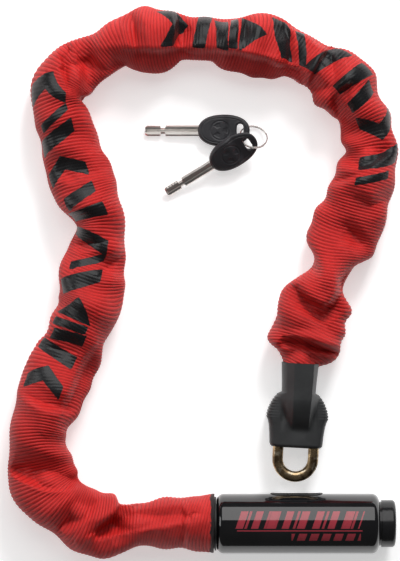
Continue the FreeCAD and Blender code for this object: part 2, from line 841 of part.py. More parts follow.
def key(label, placement):
    """A key whose frame is at its ring hole: a moulded bow, and a flat grooved blade along -X."""
    mid = -(size("bow_long") / 2 - size("bow_edge"))
    bow = new_body(label + "_bow")
    outline = new_sketch(bow, "XY_Plane", label + "_bow_outline")
    draw_slot(outline, (size("bow_long") - size("bow_wide")) / 2, size("bow_wide") / 2, x=mid)
    draw_slot(
        outline,
        (size("ring_slot_long") - size("ring_slot_wide")) / 2,
        size("ring_slot_wide") / 2,
        x=-1.2,
    )
    plate = pad(bow, outline, size("bow_thick"), label + "_bow_plate", both=True)

    def is_outer(edge):
        return is_level(edge) and edge.Length > size("bow_wide").value / 2

    dress(bow, "Fillet", plate, 2.0, label + "_bow_rounding", is_outer)
    thinned = new_sketch(bow, "XZ_Plane", label + "_eye_step")
    top, reach = size("bow_thick"), size("eye_thick") / 2
    for side in (1, -1):
        corners = [(-6.6, reach * side), (9, reach * side), (9, top * side), (-6.6, top * side)]
        draw_polygon(thinned, corners)
    pocket(bow, thinned, size("bow_wide") * 2, label + "_eye_thinning")
    socket = new_sketch(bow, "YZ_Plane", label + "_bow_socket")
    half_wide, half_thick = size("blade_wide") / 2, size("blade_thick") / 2
    draw_polygon(
        socket,
        [(-half_wide, -half_thick), (half_wide, -half_thick), (half_wide, half_thick),
         (-half_wide, half_thick)],
    )
    socket.AttachmentOffset = Placement(Vector(0, 0, -28.0), Rotation())
    pocket(bow, socket, 16.0, label + "_bow_socket_cut", both=True)
    finish(bow, placement)

    blade = new_body(label + "_blade")
    shape = new_sketch(blade, "XY_Plane", label + "_blade_outline")
    root = -(size("bow_long") - size("bow_edge"))
    tip = root - size("blade_long")
    waist = half_wide - 1.5
    upper = [
        (root + 7.9, half_wide), (tip + 13.4, half_wide), (tip + 13.0, waist),
        (tip + 10.4, waist), (tip + 10.0, half_wide), (tip + 1.0, half_wide), (tip, half_wide - 1.0),
    ]
    lower = [(x, -y) for x, y in reversed(upper)]
    draw_polygon(shape, upper + lower)
    pad(blade, shape, size("blade_thick"), label + "_blade_plate", both=True)
    groove = new_sketch(blade, "XY_Plane", label + "_blade_groove")
    draw_polygon(groove, [(tip + 3, 0.7), (root - 1, 0.7), (root - 1, -0.7), (tip + 3, -0.7)])
    groove.AttachmentOffset = Placement(Vector(0, 0, half_thick.value), Rotation())
    pocket(blade, groove, 1.2, label + "_blade_groove_cut")
    finish(blade, placement)


# Key 1 lies with its tip down and its bow on the ring; key 2 leans over it. Each turn is given as
# heading about Z, rise towards the bow, and roll about the key's own length.
LAID_KEYS = {
    "key_1": (Vector(25.6, 98.6, 5.12), 0, 3.53, 0),
    "key_2": (Vector(30.16, 90.15, 11.17), 31, 7.95, 24.65),
}
for label, (hole, heading, rise, roll) in LAID_KEYS.items():
    turn = Rotation(AXIS_Z, heading) * Rotation(AXIS_Y, -rise) * Rotation(AXIS_X, roll)
    key(label, Placement(hole, turn))
ring = doc.addObject("Part::Torus", "split_ring")
bind(ring, "Radius1", size("ring_radius"))
bind(ring, "Radius2", size("ring_wire"))
finish(ring, Placement(Vector(34.0, 94.3, 6.67), Rotation(AXIS_Z, -13.55) * Rotation(AXIS_X, -38.0)))

# ---------------------------------------------------------------- checks and export

doc.recompute()
for item in doc.Objects:
    if {"Invalid", "Error"} & set(item.State):
        raise RuntimeError(f"{item.Label} failed: {item.State}")
whole = FreeCAD.BoundBox()
for piece in finished:
    shape = piece.Shape
    if shape.isNull() or not shape.isValid() or shape.Volume <= 0:
        raise RuntimeError(f"{piece.Label} has no valid solid")
    whole.add(shape.BoundBox)
for piece in finished:
    piece.Shape.exportStep(f"parts/{piece.Label}.step")
print(f"{len(finished)} sub-parts, box {whole}")
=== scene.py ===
import json
import math

import bmesh
import bpy
import numpy as np
from mathutils import Matrix, Vector
from mathutils.bvhtree import BVHTree


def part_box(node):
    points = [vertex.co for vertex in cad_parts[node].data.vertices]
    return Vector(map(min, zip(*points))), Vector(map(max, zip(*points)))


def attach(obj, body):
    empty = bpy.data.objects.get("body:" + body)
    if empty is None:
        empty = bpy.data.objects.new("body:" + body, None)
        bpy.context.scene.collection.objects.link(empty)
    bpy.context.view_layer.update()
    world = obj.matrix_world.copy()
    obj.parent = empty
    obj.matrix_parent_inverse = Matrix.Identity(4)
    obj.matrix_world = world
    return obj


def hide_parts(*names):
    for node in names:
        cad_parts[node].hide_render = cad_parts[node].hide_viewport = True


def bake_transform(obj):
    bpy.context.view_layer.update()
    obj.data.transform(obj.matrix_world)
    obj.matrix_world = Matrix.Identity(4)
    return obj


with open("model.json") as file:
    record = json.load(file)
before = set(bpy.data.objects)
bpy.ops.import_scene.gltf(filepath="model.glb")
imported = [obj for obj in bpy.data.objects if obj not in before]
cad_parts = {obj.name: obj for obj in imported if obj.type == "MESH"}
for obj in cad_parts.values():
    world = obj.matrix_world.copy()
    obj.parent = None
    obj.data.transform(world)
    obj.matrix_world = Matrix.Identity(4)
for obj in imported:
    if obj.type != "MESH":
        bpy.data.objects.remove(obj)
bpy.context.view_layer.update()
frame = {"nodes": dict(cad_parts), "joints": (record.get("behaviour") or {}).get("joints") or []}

MM = 0.001
JOINTS = {j["name"]: j for j in frame["joints"]}


def spot(x, y, z=0.0):
    """A place in the frame, from millimetres."""
    return Vector((x, y, z)) * MM


# ---------------------------- camera, light and floor

MID_X, MID_Y = -2.3, 1.2          # what the camera looks at, mm
IMAGE_TALL = 561                  # pixels
PIXEL = 0.65 * MM                 # what one pixel spans where the chain lies
CHAIN_HIGH = 0.015                # the height of that place, m
CAMERA_HIGH = 1.9
SENSOR = 36.0

camera_data = bpy.data.cameras.new("camera")
camera = bpy.data.objects.new("camera", camera_data)
bpy.context.collection.objects.link(camera)
camera.location = spot(MID_X, MID_Y, 0) + Vector((0, 0, CAMERA_HIGH))
camera_data.sensor_fit = "VERTICAL"
camera_data.sensor_height = SENSOR
camera_data.lens = SENSOR * (CAMERA_HIGH - CHAIN_HIGH) / (IMAGE_TALL * PIXEL)
camera_data.clip_start, camera_data.clip_end = 0.05, 50
bpy.context.scene.camera = camera
bpy.context.scene.view_settings.view_transform = "Standard"


def area_light(name, place, aim, width, depth, radiance, colour=(1, 1, 1)):
    """A rectangular light, as bright as its radiance says whatever its size."""
    data = bpy.data.lights.new(name, "AREA")
    data.shape, data.size, data.size_y = "RECTANGLE", width, depth
    data.energy = radiance * math.pi * width * depth
    data.color = colour
    light = bpy.data.objects.new(name, data)
    bpy.context.collection.objects.link(light)
    light.location = place
    light.rotation_euler = (Vector(aim) - Vector(place)).to_track_quat("-Z", "Y").to_euler()
    return light


# One wide softbox on the +Y side, sloping towards the lock: its lower edge ends the barrel's bright strip.
area_light("softbox", (0.05, 1.57, 1.62), (0.05, 0.45, -0.04), 2.6, 2.41, 1.75, (1.0, 0.99, 0.985))
area_light("left_fill", (-2.3, 0.3, 1.2), (0, 0, 0), 1.1, 1.1, 2.0)
key_light = area_light("key", (0.5, 1.78, 1.2), (0, 0, 0), 0.55, 0.55, 40.0)
key_light.visible_glossy = False

world = bpy.data.worlds.new("studio")
bpy.context.scene.world = world
world.use_nodes = True
sky = world.node_tree.nodes["Background"].inputs
sky["Color"].default_value = (1, 1, 1, 1)
sky["Strength"].default_value = 0.07

# ---------------------------- materials


class Look:
    """A procedural material: a Principled shader and a few short ways to add to it."""

    def __init__(self, name, colour, roughness, metallic=0.0, **sockets):
        self.material = bpy.data.materials.new(name)
        self.material.use_nodes = True
        self.tree = self.material.node_tree
        self.shader = self.tree.nodes["Principled BSDF"]
        self.set("Base Color", (*colour, 1))
        self.set("Roughness", roughness)
        self.set("Metallic", metallic)
        for socket, value in sockets.items():
            self.set(socket.replace("_", " "), value)
        self.bumps = None

    def set(self, socket, value):
        self.shader.inputs[socket].default_value = value

    def node(self, kind, **settings):
        """A new node, with its inputs or properties set by name."""
        node = self.tree.nodes.new(kind)
        for key, value in settings.items():
            if key in node.inputs:
                node.inputs[key].default_value = value
            else:
                setattr(node, key, value)
        return node

    def link(self, source, target):
        self.tree.links.new(source, target)

    def feed(self, value, target, plain=lambda number: number):
        """Links a socket to an input, or sets the input to a number."""
        if hasattr(value, "is_output"):
            self.link(value, target)
        else:
            target.default_value = plain(value)

    def math(self, operation, *values):
        node = self.node("ShaderNodeMath", operation=operation)
        for value, target in zip(values, node.inputs):
            self.feed(value, target)
        return node.outputs[0]

    def times(self, a, b):
        return self.math("MULTIPLY", a, b)

    def place(self):
        return self.node("ShaderNodeTexCoord").outputs["Object"]

    def split(self, vector):
        """The X, Y and Z of a vector."""
        node = self.node("ShaderNodeSeparateXYZ")
        self.link(vector, node.inputs[0])
        return node.outputs["X"], node.outputs["Y"], node.outputs["Z"]

    def noise(self, scale, detail=3.0, rough=0.5):
        texture = self.node("ShaderNodeTexNoise", Scale=scale, Detail=detail, Roughness=rough)
        self.link(self.place(), texture.inputs["Vector"])
        return texture.outputs["Fac"]

    def band(self, value, low, high, to_low=0.0, to_high=1.0):
        """Maps a value smoothly from one range to another."""
        node = self.node("ShaderNodeMapRange", interpolation_type="SMOOTHSTEP")
        self.link(value, node.inputs["Value"])
        limits = {"From Min": low, "From Max": high, "To Min": to_low, "To Max": to_high}
        for key, number in limits.items():
            node.inputs[key].default_value = number
        return node.outputs["Result"]

    def mix(self, amount, first, second):
        """One colour turning into another as the amount goes from 0 to 1."""
        node = self.node("ShaderNodeMix", data_type="RGBA")
        self.link(amount, node.inputs["Factor"])
        for index, colour in ((6, first), (7, second)):      # the node's A and B for colours
            self.feed(colour, node.inputs[index], lambda rgb: (*rgb, 1))
        return node.outputs[2]

    def bump(self, height, distance, strength=1.0):
        """Adds a bump; distance is in metres."""
        node = self.node("ShaderNodeBump", Strength=strength, Distance=distance)
        self.link(height, node.inputs["Height"])
        if self.bumps is not None:
            self.link(self.bumps, node.inputs["Normal"])
        self.bumps = node.outputs["Normal"]
        self.link(self.bumps, self.shader.inputs["Normal"])

    def to(self, socket, value):
        self.link(value, self.shader.inputs[socket])


def metal(name, light, dark, roughness, grain=900, spread=0.12, relief=0.00004):
    """Metal with stains of a darker tone and a fine grain in its roughness and relief."""
    look = Look(name, light, roughness, 1.0)
    stains = look.noise(grain * 0.12, 4.0, 0.6)
    look.to("Base Color", look.mix(look.band(stains, 0.35, 0.7), light, dark))
    fine = look.noise(grain, 2.0, 0.5)
    look.to("Roughness", look.band(fine, 0.3, 0.7, roughness - spread / 2, roughness + spread))
    look.bump(fine, relief, 0.5)
    return look.material


def moulded(name, colour, roughness, grain=1500, depth=0.00005):
    """Moulded rubber or plastic: slightly cloudy in colour, with a fine grain."""
    look = Look(name, colour, roughness)
    cloudy = look.noise(60, 3.0, 0.6)
    paler = tuple(1.35 * c + 0.004 for c in colour)
    look.to("Base Color", look.mix(look.band(cloudy, 0.3, 0.75), colour, paler))
    fine = look.noise(grain, 3.0, 0.6)
    look.to("Roughness", look.band(fine, 0.3, 0.7, roughness - 0.05, roughness + 0.08))
    look.bump(fine, depth, 0.6)
    return look.material


YARN = 0.7 * MM                   # pitch of the yarns across the ribs
HEM = 3.2 * MM                    # width of the black binding
HEM_SOFT = 0.2 * MM


def fabric():
    """Red ribbed webbing with a thick glossy black print on it, and a black binding at its hem."""
    look = Look("sleeve_webbing", (0.56, 0.022, 0.018), 0.6, Sheen_Weight=0.16, Sheen_Roughness=0.4)
    look.set("Sheen Tint", (1.0, 0.25, 0.21, 1))
    look.set("Specular IOR Level", 0.45)
    printed = look.node("ShaderNodeAttribute", attribute_name="print_mm").outputs["Fac"]
    rib = look.node("ShaderNodeAttribute", attribute_name="rib").outputs["Fac"]
    along, across, _ = look.split(look.node("ShaderNodeUVMap", uv_map="cloth").outputs[0])
    yarn = look.math("SINE", look.times(across, 2 * math.pi / YARN))
    # the dye: worn patches and paler threads, and painted shade darkening the valleys between the ribs
    patchy = look.noise(45, 4.0, 0.6)
    dye_and_groove_shade = look.mix(look.band(patchy, 0.3, 0.75), (0.47, 0.011, 0.011), (0.60, 0.018, 0.017))
    threads = look.noise(1300, 2.0, 0.5)
    dye_and_groove_shade = look.mix(look.band(threads, 0.35, 0.75, 0.0, 0.4), dye_and_groove_shade, (0.72, 0.05, 0.04))
    # painted shade: the colour darkens in the valleys between the ribs, where shade falls
    dye_and_groove_shade = look.mix(look.band(rib, 0.1, 0.75, 0.8, 0.0), dye_and_groove_shade, (0.21, 0.004, 0.005))
    flecks = look.noise(240, 5.0, 0.7)
    ragged = look.band(flecks, 0.3, 0.7, -0.0009, 0.0009)
    hem = look.band(look.math("ADD", along, ragged), HEM - HEM_SOFT, HEM + HEM_SOFT, 1.0, 0.0)
    dye_and_groove_shade = look.mix(hem, dye_and_groove_shade, (0.012, 0.009, 0.010))
    # the print, with a slightly broken edge
    edge = look.math("ADD", printed, look.band(flecks, 0.3, 0.7, -0.2, 0.2))
    inked = look.band(edge, -0.12, 0.12)
    ink = look.mix(look.band(patchy, 0.45, 0.8), (0.008, 0.009, 0.010), (0.022, 0.024, 0.026))
    look.to("Base Color", look.mix(inked, dye_and_groove_shade, ink))
    matt = look.band(threads, 0.3, 0.7, 0.46, 0.6)
    shiny = look.band(flecks, 0.3, 0.7, 0.22, 0.34)
    bare_share = look.math("SUBTRACT", 1.0, inked)
    look.to("Roughness", look.math("ADD", look.times(inked, shiny), look.times(bare_share, matt)))
    relief = look.math("SUBTRACT", 1.0, look.times(inked, 0.85))
    look.bump(look.times(yarn, relief), 0.00010, 0.6)
    look.bump(look.times(threads, relief), 0.00012, 0.5)
    return look.material


def barrel_lacquer():
    """Deep gloss black, with a generic red stripe pattern along the top."""
    look = Look("barrel_lacquer", (0.006, 0.006, 0.007), 0.06, Coat_Weight=0.9, Coat_Roughness=0.02)
    frame_x, frame_y, frame_z = look.split(look.place())
    x = look.times(frame_x, 1000.0)
    y = look.times(look.math("SUBTRACT", frame_y, AXIS_Y), 1000.0)
    above = look.band(frame_z, 0.020, 0.021)

    def within(value, low, high, soft=0.12):
        return look.times(look.band(value, low - soft, low + soft),
                          look.band(value, high - soft, high + soft, 1.0, 0.0))

    def stripes(start, half_pitch, low, high):
        """Stripes that repeat along the slanted line; low and high are where a stripe's edge fades."""
        return look.band(look.math("PINGPONG", look.math("ADD", slanted, start), half_pitch), low, high)

    # a row of slanted blocks of two widths, a thin line and a shorter row of small blocks below it, in mm
    slanted = look.math("ADD", x, look.times(y, -0.35))
    row = look.math("MAXIMUM", stripes(1.0, 4.9, 2.5, 2.75), look.times(stripes(0.4, 3.1, 2.2, 2.4), 0.9))
    row = look.times(row, look.times(within(y, -1.7, 9.3), within(slanted, 21.0, 100.5)))
    line = look.times(within(y, -3.5, -2.7, 0.1), within(x, 21.5, 102.0))
    small = look.times(stripes(0.5, 3.9, 1.2, 1.4), look.times(within(y, -9.6, -5.0), within(x, 56.5, 101.0)))
    red = look.times(look.math("MAXIMUM", row, look.math("MAXIMUM", line, small)), above)
    red = look.times(red, look.band(look.noise(900, 4.0, 0.6), 0.2, 0.5, 0.75, 1.0))
    dust = look.noise(35, 4.0, 0.6)
    black = look.mix(look.band(dust, 0.4, 0.8), (0.005, 0.005, 0.006), (0.010, 0.009, 0.010))
    look.to("Base Color", look.mix(red, black, (0.33, 0.035, 0.05)))
    look.to("Roughness", look.band(dust, 0.3, 0.8, 0.055, 0.1))
    return look.material


BEZEL_LINE = 0.0025               # how far the brass line, left clear of the painted shade, is below the bezel's top, m
LINING_OUT, LINING_IN = 0.0184, 0.0188     # the brass lining ends between these distances from the axis, m


def bezel_look(low, high):
    """Brass lining of the throat; its outer face has painted shade, black over the brass, but for a thin
    patchy brass line.
    """
    look = Look("throat_bezel_painted_shade", (0.008, 0.008, 0.008), 0.3)
    frame_x, frame_y, frame_z = look.split(look.place())
    x = look.math("SUBTRACT", frame_x, (low[0] + high[0]) / 2)
    bowed = look.math("ADD", frame_z, look.times(look.times(x, x), 9.0))
    off = look.math("ABSOLUTE", look.math("SUBTRACT", bowed, high[2] - BEZEL_LINE))
    patchy = look.band(look.noise(300, 3.0, 0.6), 0.3, 0.6, 0.4, 1.0)
    line = look.times(look.band(off, 0.0003, 0.0007, 1.0, 0.0), patchy)
    y = look.math("SUBTRACT", frame_y, AXIS_Y)
    z = look.math("SUBTRACT", frame_z, AXIS_Z)
    from_axis = look.math("SQRT", look.math("ADD", look.times(y, y), look.times(z, z)))
    brass = look.math("MAXIMUM", line, look.band(from_axis, LINING_OUT, LINING_IN, 1.0, 0.0))
    # painted shade: black over the brass face, leaving brass only in the thin line and at the inner lip
    look.to("Base Color", look.mix(brass, (0.008, 0.008, 0.008), (0.36, 0.28, 0.12)))
    look.to("Metallic", brass)
    look.to("Roughness", look.band(patchy, 0.4, 1.0, 0.25, 0.4))
    return look.material


def plated_gold():
    """Yellow zinc plate over a rough forged link: gold and dark brown patches."""
    look = Look("end_link_plate", (0.45, 0.33, 0.17), 0.3, 1.0)
    blotches = look.noise(95, 5.0, 0.65)
    colour = look.mix(look.band(blotches, 0.37, 0.66), (0.10, 0.065, 0.035), (0.66, 0.48, 0.27))
    tints = look.noise(260, 3.0, 0.5)
    look.to("Base Color", look.mix(look.band(tints, 0.5, 0.75), colour, (0.75, 0.66, 0.5)))
    look.to("Roughness", look.band(blotches, 0.3, 0.7, 0.42, 0.2))
    look.bump(blotches, 0.00025, 0.5)
    look.bump(look.noise(1100, 3.0, 0.6), 0.00005, 0.5)
    return look.material


SHELL_LOW, SHELL_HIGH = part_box("barrel_shell")
AXIS_Y = (SHELL_LOW[1] + SHELL_HIGH[1]) / 2       # the barrel's axis
AXIS_Z = (SHELL_LOW[2] + SHELL_HIGH[2]) / 2

WEBBING = fabric()
LACQUER = barrel_lacquer()
CAP_BLACK = moulded("cap_black", (0.008, 0.008, 0.009), 0.16, 900, 0.00003)
RUBBER = moulded("boot_rubber", (0.024, 0.025, 0.026), 0.46, 2200, 0.00007)
BOW_BLACK = moulded("bow_plastic", (0.020, 0.020, 0.023), 0.34, 2600, 0.00006)
COLLAR_BLACK = moulded("collar_plastic", (0.012, 0.012, 0.012), 0.5)
BEZEL = bezel_look(*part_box("throat_bezel"))
GOLD = plated_gold()
NICKEL = metal("key_nickel", (0.90, 0.86, 0.82), (0.62, 0.58, 0.54), 0.34, 200, 0.05, 0.000006)
RING_STEEL = metal("ring_steel", (0.92, 0.91, 0.89), (0.7, 0.69, 0.66), 0.24, 300, 0.05, 0.000006)
STEEL = metal("inner_steel", (0.56, 0.56, 0.55), (0.36, 0.36, 0.36), 0.35)
DARK_STEEL = metal("rotor_steel", (0.36, 0.35, 0.34), (0.2, 0.2, 0.2), 0.4)
CHAIN_STEEL = metal("chain_steel", (0.3, 0.3, 0.31), (0.14, 0.14, 0.15), 0.42)
DISC_BRASS = metal("disc_brass", (0.7, 0.55, 0.3), (0.5, 0.36, 0.16), 0.35)

NODE_LOOKS = {
    "throat_bezel": BEZEL, "lock_housing": STEEL, "anchor_pin": STEEL, "case_pins": STEEL,
    "cylinder_case": STEEL, "cylinder_core": STEEL, "core_clip": DARK_STEEL,
    "detainer_discs": DISC_BRASS, "disc_spacers": STEEL, "sidebar": STEEL, "drive_tail": STEEL,
    "locking_rotor": DARK_STEEL, "dust_cover": STEEL, "cover_ring": STEEL,
    "sleeve_collar": COLLAR_BLACK, "key_cap": CAP_BLACK, "barrel_shell": LACQUER,
}


def dress(obj, material):
    """Puts one material on all of an object."""
    if not obj.material_slots:
        obj.data.materials.append(material)
    for slot in obj.material_slots:
        slot.material = material


for name, node in frame["nodes"].items():
    if name in NODE_LOOKS:
        dress(node, NODE_LOOKS[name])
    elif name.startswith("link_"):
        dress(node, CHAIN_STEEL)

# ---------------------------- mesh helpers


def new_piece(name, points, faces, material, sharp=None):
    """A mesh piece, smooth except along edges sharper than the given angle."""
    mesh = bpy.data.meshes.new(name)
    mesh.from_pydata([tuple(p) for p in points], [], faces)
    mesh.update()
    piece = bpy.data.objects.new(name, mesh)
    bpy.context.collection.objects.link(piece)
    mesh.materials.append(material)
    mesh.shade_smooth()
    if sharp is not None:
        bm = bmesh.new()
        bm.from_mesh(mesh)
        limit = math.radians(sharp)
        for edge in bm.edges:
            if len(edge.link_faces) == 2 and edge.calc_face_angle(0) > limit:
                edge.smooth = False
        bm.to_mesh(mesh)
        bm.free()
    return piece


def ring_faces(rings, count):
    """Quads between neighbouring rings of count points."""
    faces = []
    for i in range(rings - 1):
        for j in range(count):
            k = (j + 1) % count
            faces.append((i * count + j, i * count + k, (i + 1) * count + k, (i + 1) * count + j))
    return faces


def tube_faces(rings, count, joined=False):
    """The faces of a solid made of rings: its ends are capped, or joined to each other."""
    faces = ring_faces(rings, count)
    last = (rings - 1) * count
    if joined:
        return faces + [(last + j, last + (j + 1) % count, (j + 1) % count, j) for j in range(count)]
    return faces + [tuple(range(count))[::-1], tuple(range(last, last + count))]


def powered(wave, power):
    """A sine or cosine bent so that a circle becomes a rounder or squarer oval."""
    return np.sign(wave) * np.abs(wave) ** (2 / power)


def step(value, low, high):
    """0 below low, 1 above high, smooth between."""
    t = np.clip((value - low) / (high - low), 0, 1)
    return t * t * (3 - 2 * t)


def dent(value, middle, wide):
    """A smooth groove or ridge of depth 1 along a value."""
    return np.exp(-(((value - middle) / wide) ** 2))


# ---------------------------- the sleeve

# Where the sleeve lies, seen from above: x, y and width in mm, from the barrel to the boot.
STATIONS = [
    (7.6, -156.4, 38), (-1, -156.3, 36.5), (-12.8, -156.2, 33.5), (-28.4, -156.8, 31.5), (-43.4, -157.7, 27),
    (-53.7, -160, 31), (-63.4, -158.4, 43), (-76.4, -154.4, 40), (-91.1, -145.7, 38),
    (-101.4, -133.6, 44), (-106.1, -119.4, 43.6), (-107.9, -108.9, 37.7), (-107.4, -94.6, 35.7),
    (-101.2, -79, 41.6), (-94.3, -59.4, 45), (-89.4, -49.8, 42), (-80.6, -30.6, 38.6),
    (-73.6, -13.1, 40), (-73.2, 0.9, 43.6), (-69.1, 20.1, 37), (-66.7, 36, 30.5),
    (-69, 44.8, 32.5), (-76.2, 59.1, 41), (-83.1, 77.6, 40.6), (-86.9, 88.6, 37),
    (-92.6, 108, 35), (-95.5, 119.5, 32), (-92, 131, 36), (-82.5, 139.4, 36), (-72.3, 146, 30),
    (-64.5, 150.5, 27.5), (-53.7, 155.6, 30), (-40.4, 157.2, 42), (-27.9, 157.8, 42),
    (-14.1, 159.3, 29), (-2.4, 158.3, 27), (8.4, 157.6, 28), (20.4, 154.9, 35),
    (32.1, 154.3, 40.8), (45.7, 152, 40), (54.9, 149.8, 34.3), (65.9, 145.5, 28.5),
    (75.2, 140.2, 31), (86.6, 132, 42), (93.8, 124.2, 40), (102.3, 112.4, 30),
    (106, 102, 33.5), (108.4, 88.4, 34), (106.5, 74.3, 36.5), (101.6, 56.8, 41),
    (96.6, 43, 43.5), (89.6, 28.4, 46), (86.2, 20.4, 39), (83.8, 13.2, 27), (80.5, 3.4, 23),
    (74.6, -9.4, 44), (71, -19.6, 46), (67.5, -31.4, 46.5), (66.5, -40.7, 47), (64.8, -47, 36),
    (63.2, -51, 25), (62.7, -55, 21.5),
]
RIB = 2.05            # pitch of the webbing's ribs
RIB_DEEP = 0.62
STEP = 0.4            # between two rows of points along the sleeve
ROUND = 84            # points round the sleeve
SECTION_POINTS = 240  # points round a section before they are spaced evenly
FLOOR_GAP = 0.5       # the lowest fabric above the floor, before its ribs
LINKS = 24

HINGES = {k: np.array(JOINTS[f"link_hinge_{k:02d}"]["pos_m"]) / MM for k in range(1, LINKS)}


def curve_through(values, count):
    """Catmull-Rom through the rows of values, count samples to each stretch."""
    values = np.asarray(values, float)
    padded = np.vstack([2 * values[0] - values[1], values, 2 * values[-1] - values[-2]])
    t = np.linspace(0, 1, count, endpoint=False)[:, None]
    out = []
    for a, b, c, d in zip(padded, padded[1:], padded[2:], padded[3:]):
        out.append(0.5 * (2 * b + (c - a) * t + (2 * a - 5 * b + 4 * c - d) * t**2
                          + (3 * b - a - 3 * c + d) * t**3))
    return np.vstack(out + [values[-1:]])


def even_rows(table, step):
    """Resamples a curve's table so that its first two columns advance by equal lengths."""
    gone = np.concatenate([[0], np.cumsum(np.hypot(*np.diff(table[:, :2], axis=0).T))])
    at = np.linspace(0, gone[-1], int(round(gone[-1] / step)) + 1)
    return at, np.column_stack([np.interp(at, gone, column) for column in table.T])


def blurred(values, width):
    """A weighted running mean over width rows, with the ends held."""
    half = int(width // 2)
    kernel = np.hanning(2 * half + 3)[1:-1]
    kernel /= kernel.sum()
    padded = np.concatenate([np.repeat(values[:1], half, 0), values, np.repeat(values[-1:], half, 0)])
    return np.stack([np.convolve(column, kernel, "valid") for column in padded.T], 1)


ALONG, path = even_rows(curve_through(STATIONS, 24), STEP)
path[:, :2] = blurred(path[:, :2], 10 / STEP)
WIDTH = path[:, 2]
heading = np.gradient(blurred(path[:, :2], 26 / STEP), axis=0)
heading /= np.linalg.norm(heading, axis=1)[:, None]
ACROSS = np.column_stack([-heading[:, 1], heading[:, 0]])      # +: the loop's outer side
TOTAL = ALONG[-1]


def where_along(point):
    """The row of the sleeve nearest to a place in plan."""
    return int(np.argmin(np.hypot(path[:, 0] - point[0], path[:, 1] - point[1])))


# The sleeve's height over some links, where it isn't the usual one; the number is of the hinge before.
PUFFS = {
    1: 37, 2: 33, 3: 34.5, 4: 32, 5: 37, 7: 34, 13: 36, 15: 35, 17: 37.5, 19: 36,
    21: 36, 22: 31,
}


def crest_line():
    """Heights of the sleeve's top and how pointed it is: high over the links on edge."""
    stops, tops, shape = [-20.0, 5.0], [39.0, 38.4], [2.0, 2.0]
    for k in range(1, LINKS - 1):
        middle = ALONG[where_along((HINGES[k] + HINGES[k + 1]) / 2)]
        on_edge = k % 2 == 1
        stops.append(middle)
        tops.append(PUFFS.get(k, 32.0 if on_edge else 25.0))
        shape.append(1.8 if on_edge else 2.5)
    stops += [TOTAL - 12, TOTAL - 5, TOTAL + 10]
    tops += [33.0, 28.0, 27.0]
    shape += [2.0, 2.4, 2.4]
    order = np.argsort(stops)
    stops, tops, shape = (np.array(v)[order] for v in (stops, tops, shape))
    return np.column_stack([np.interp(ALONG, stops, tops), np.interp(ALONG, stops, shape)])


CREST = blurred(crest_line(), 12 / STEP)

CREASE_GAIN = 1.4
# Panels that turn down along an edge: the edge's places (the right side of the way they run falls),
# the slope, how far it falls in all and how far from the edge the fall is over.
PANELS = [
    ([(-52, 151), (-30, 150), (-10, 150)], 1.3, 12, 20),
    ([(6, 150), (30, 146), (45, 142.5), (63, 137)], 1.3, 12, 20),
    ([(-90, -82), (-80, -62), (-72, -42)], 1.2, 9, 16),
    ([(-67, -160), (-56, -151), (-52, -144), (-54, -135)], 3, 7, 17),
    ([(-79, 116), (-86, 129), (-91, 140)], 2.2, 8, 15),
    ([(-90, 140), (-87, 150), (-90, 161)], 0.7, 5, 14),
    ([(50, -38), (67, -40.5), (93, -46)], 3, 10, 14),
    ([(88, 102), (84, 112), (78, 124)], 1, 6, 12),
    ([(-60, -4), (-57, 12), (-54, 24)], 1.2, 7, 12),
    ([(76, -19), (84, -15.5), (88, -8), (90, 2)], 0.9, 7, 14),
    ([(88, 128), (95, 120), (99, 108)], 0.9, 6, 14),
]
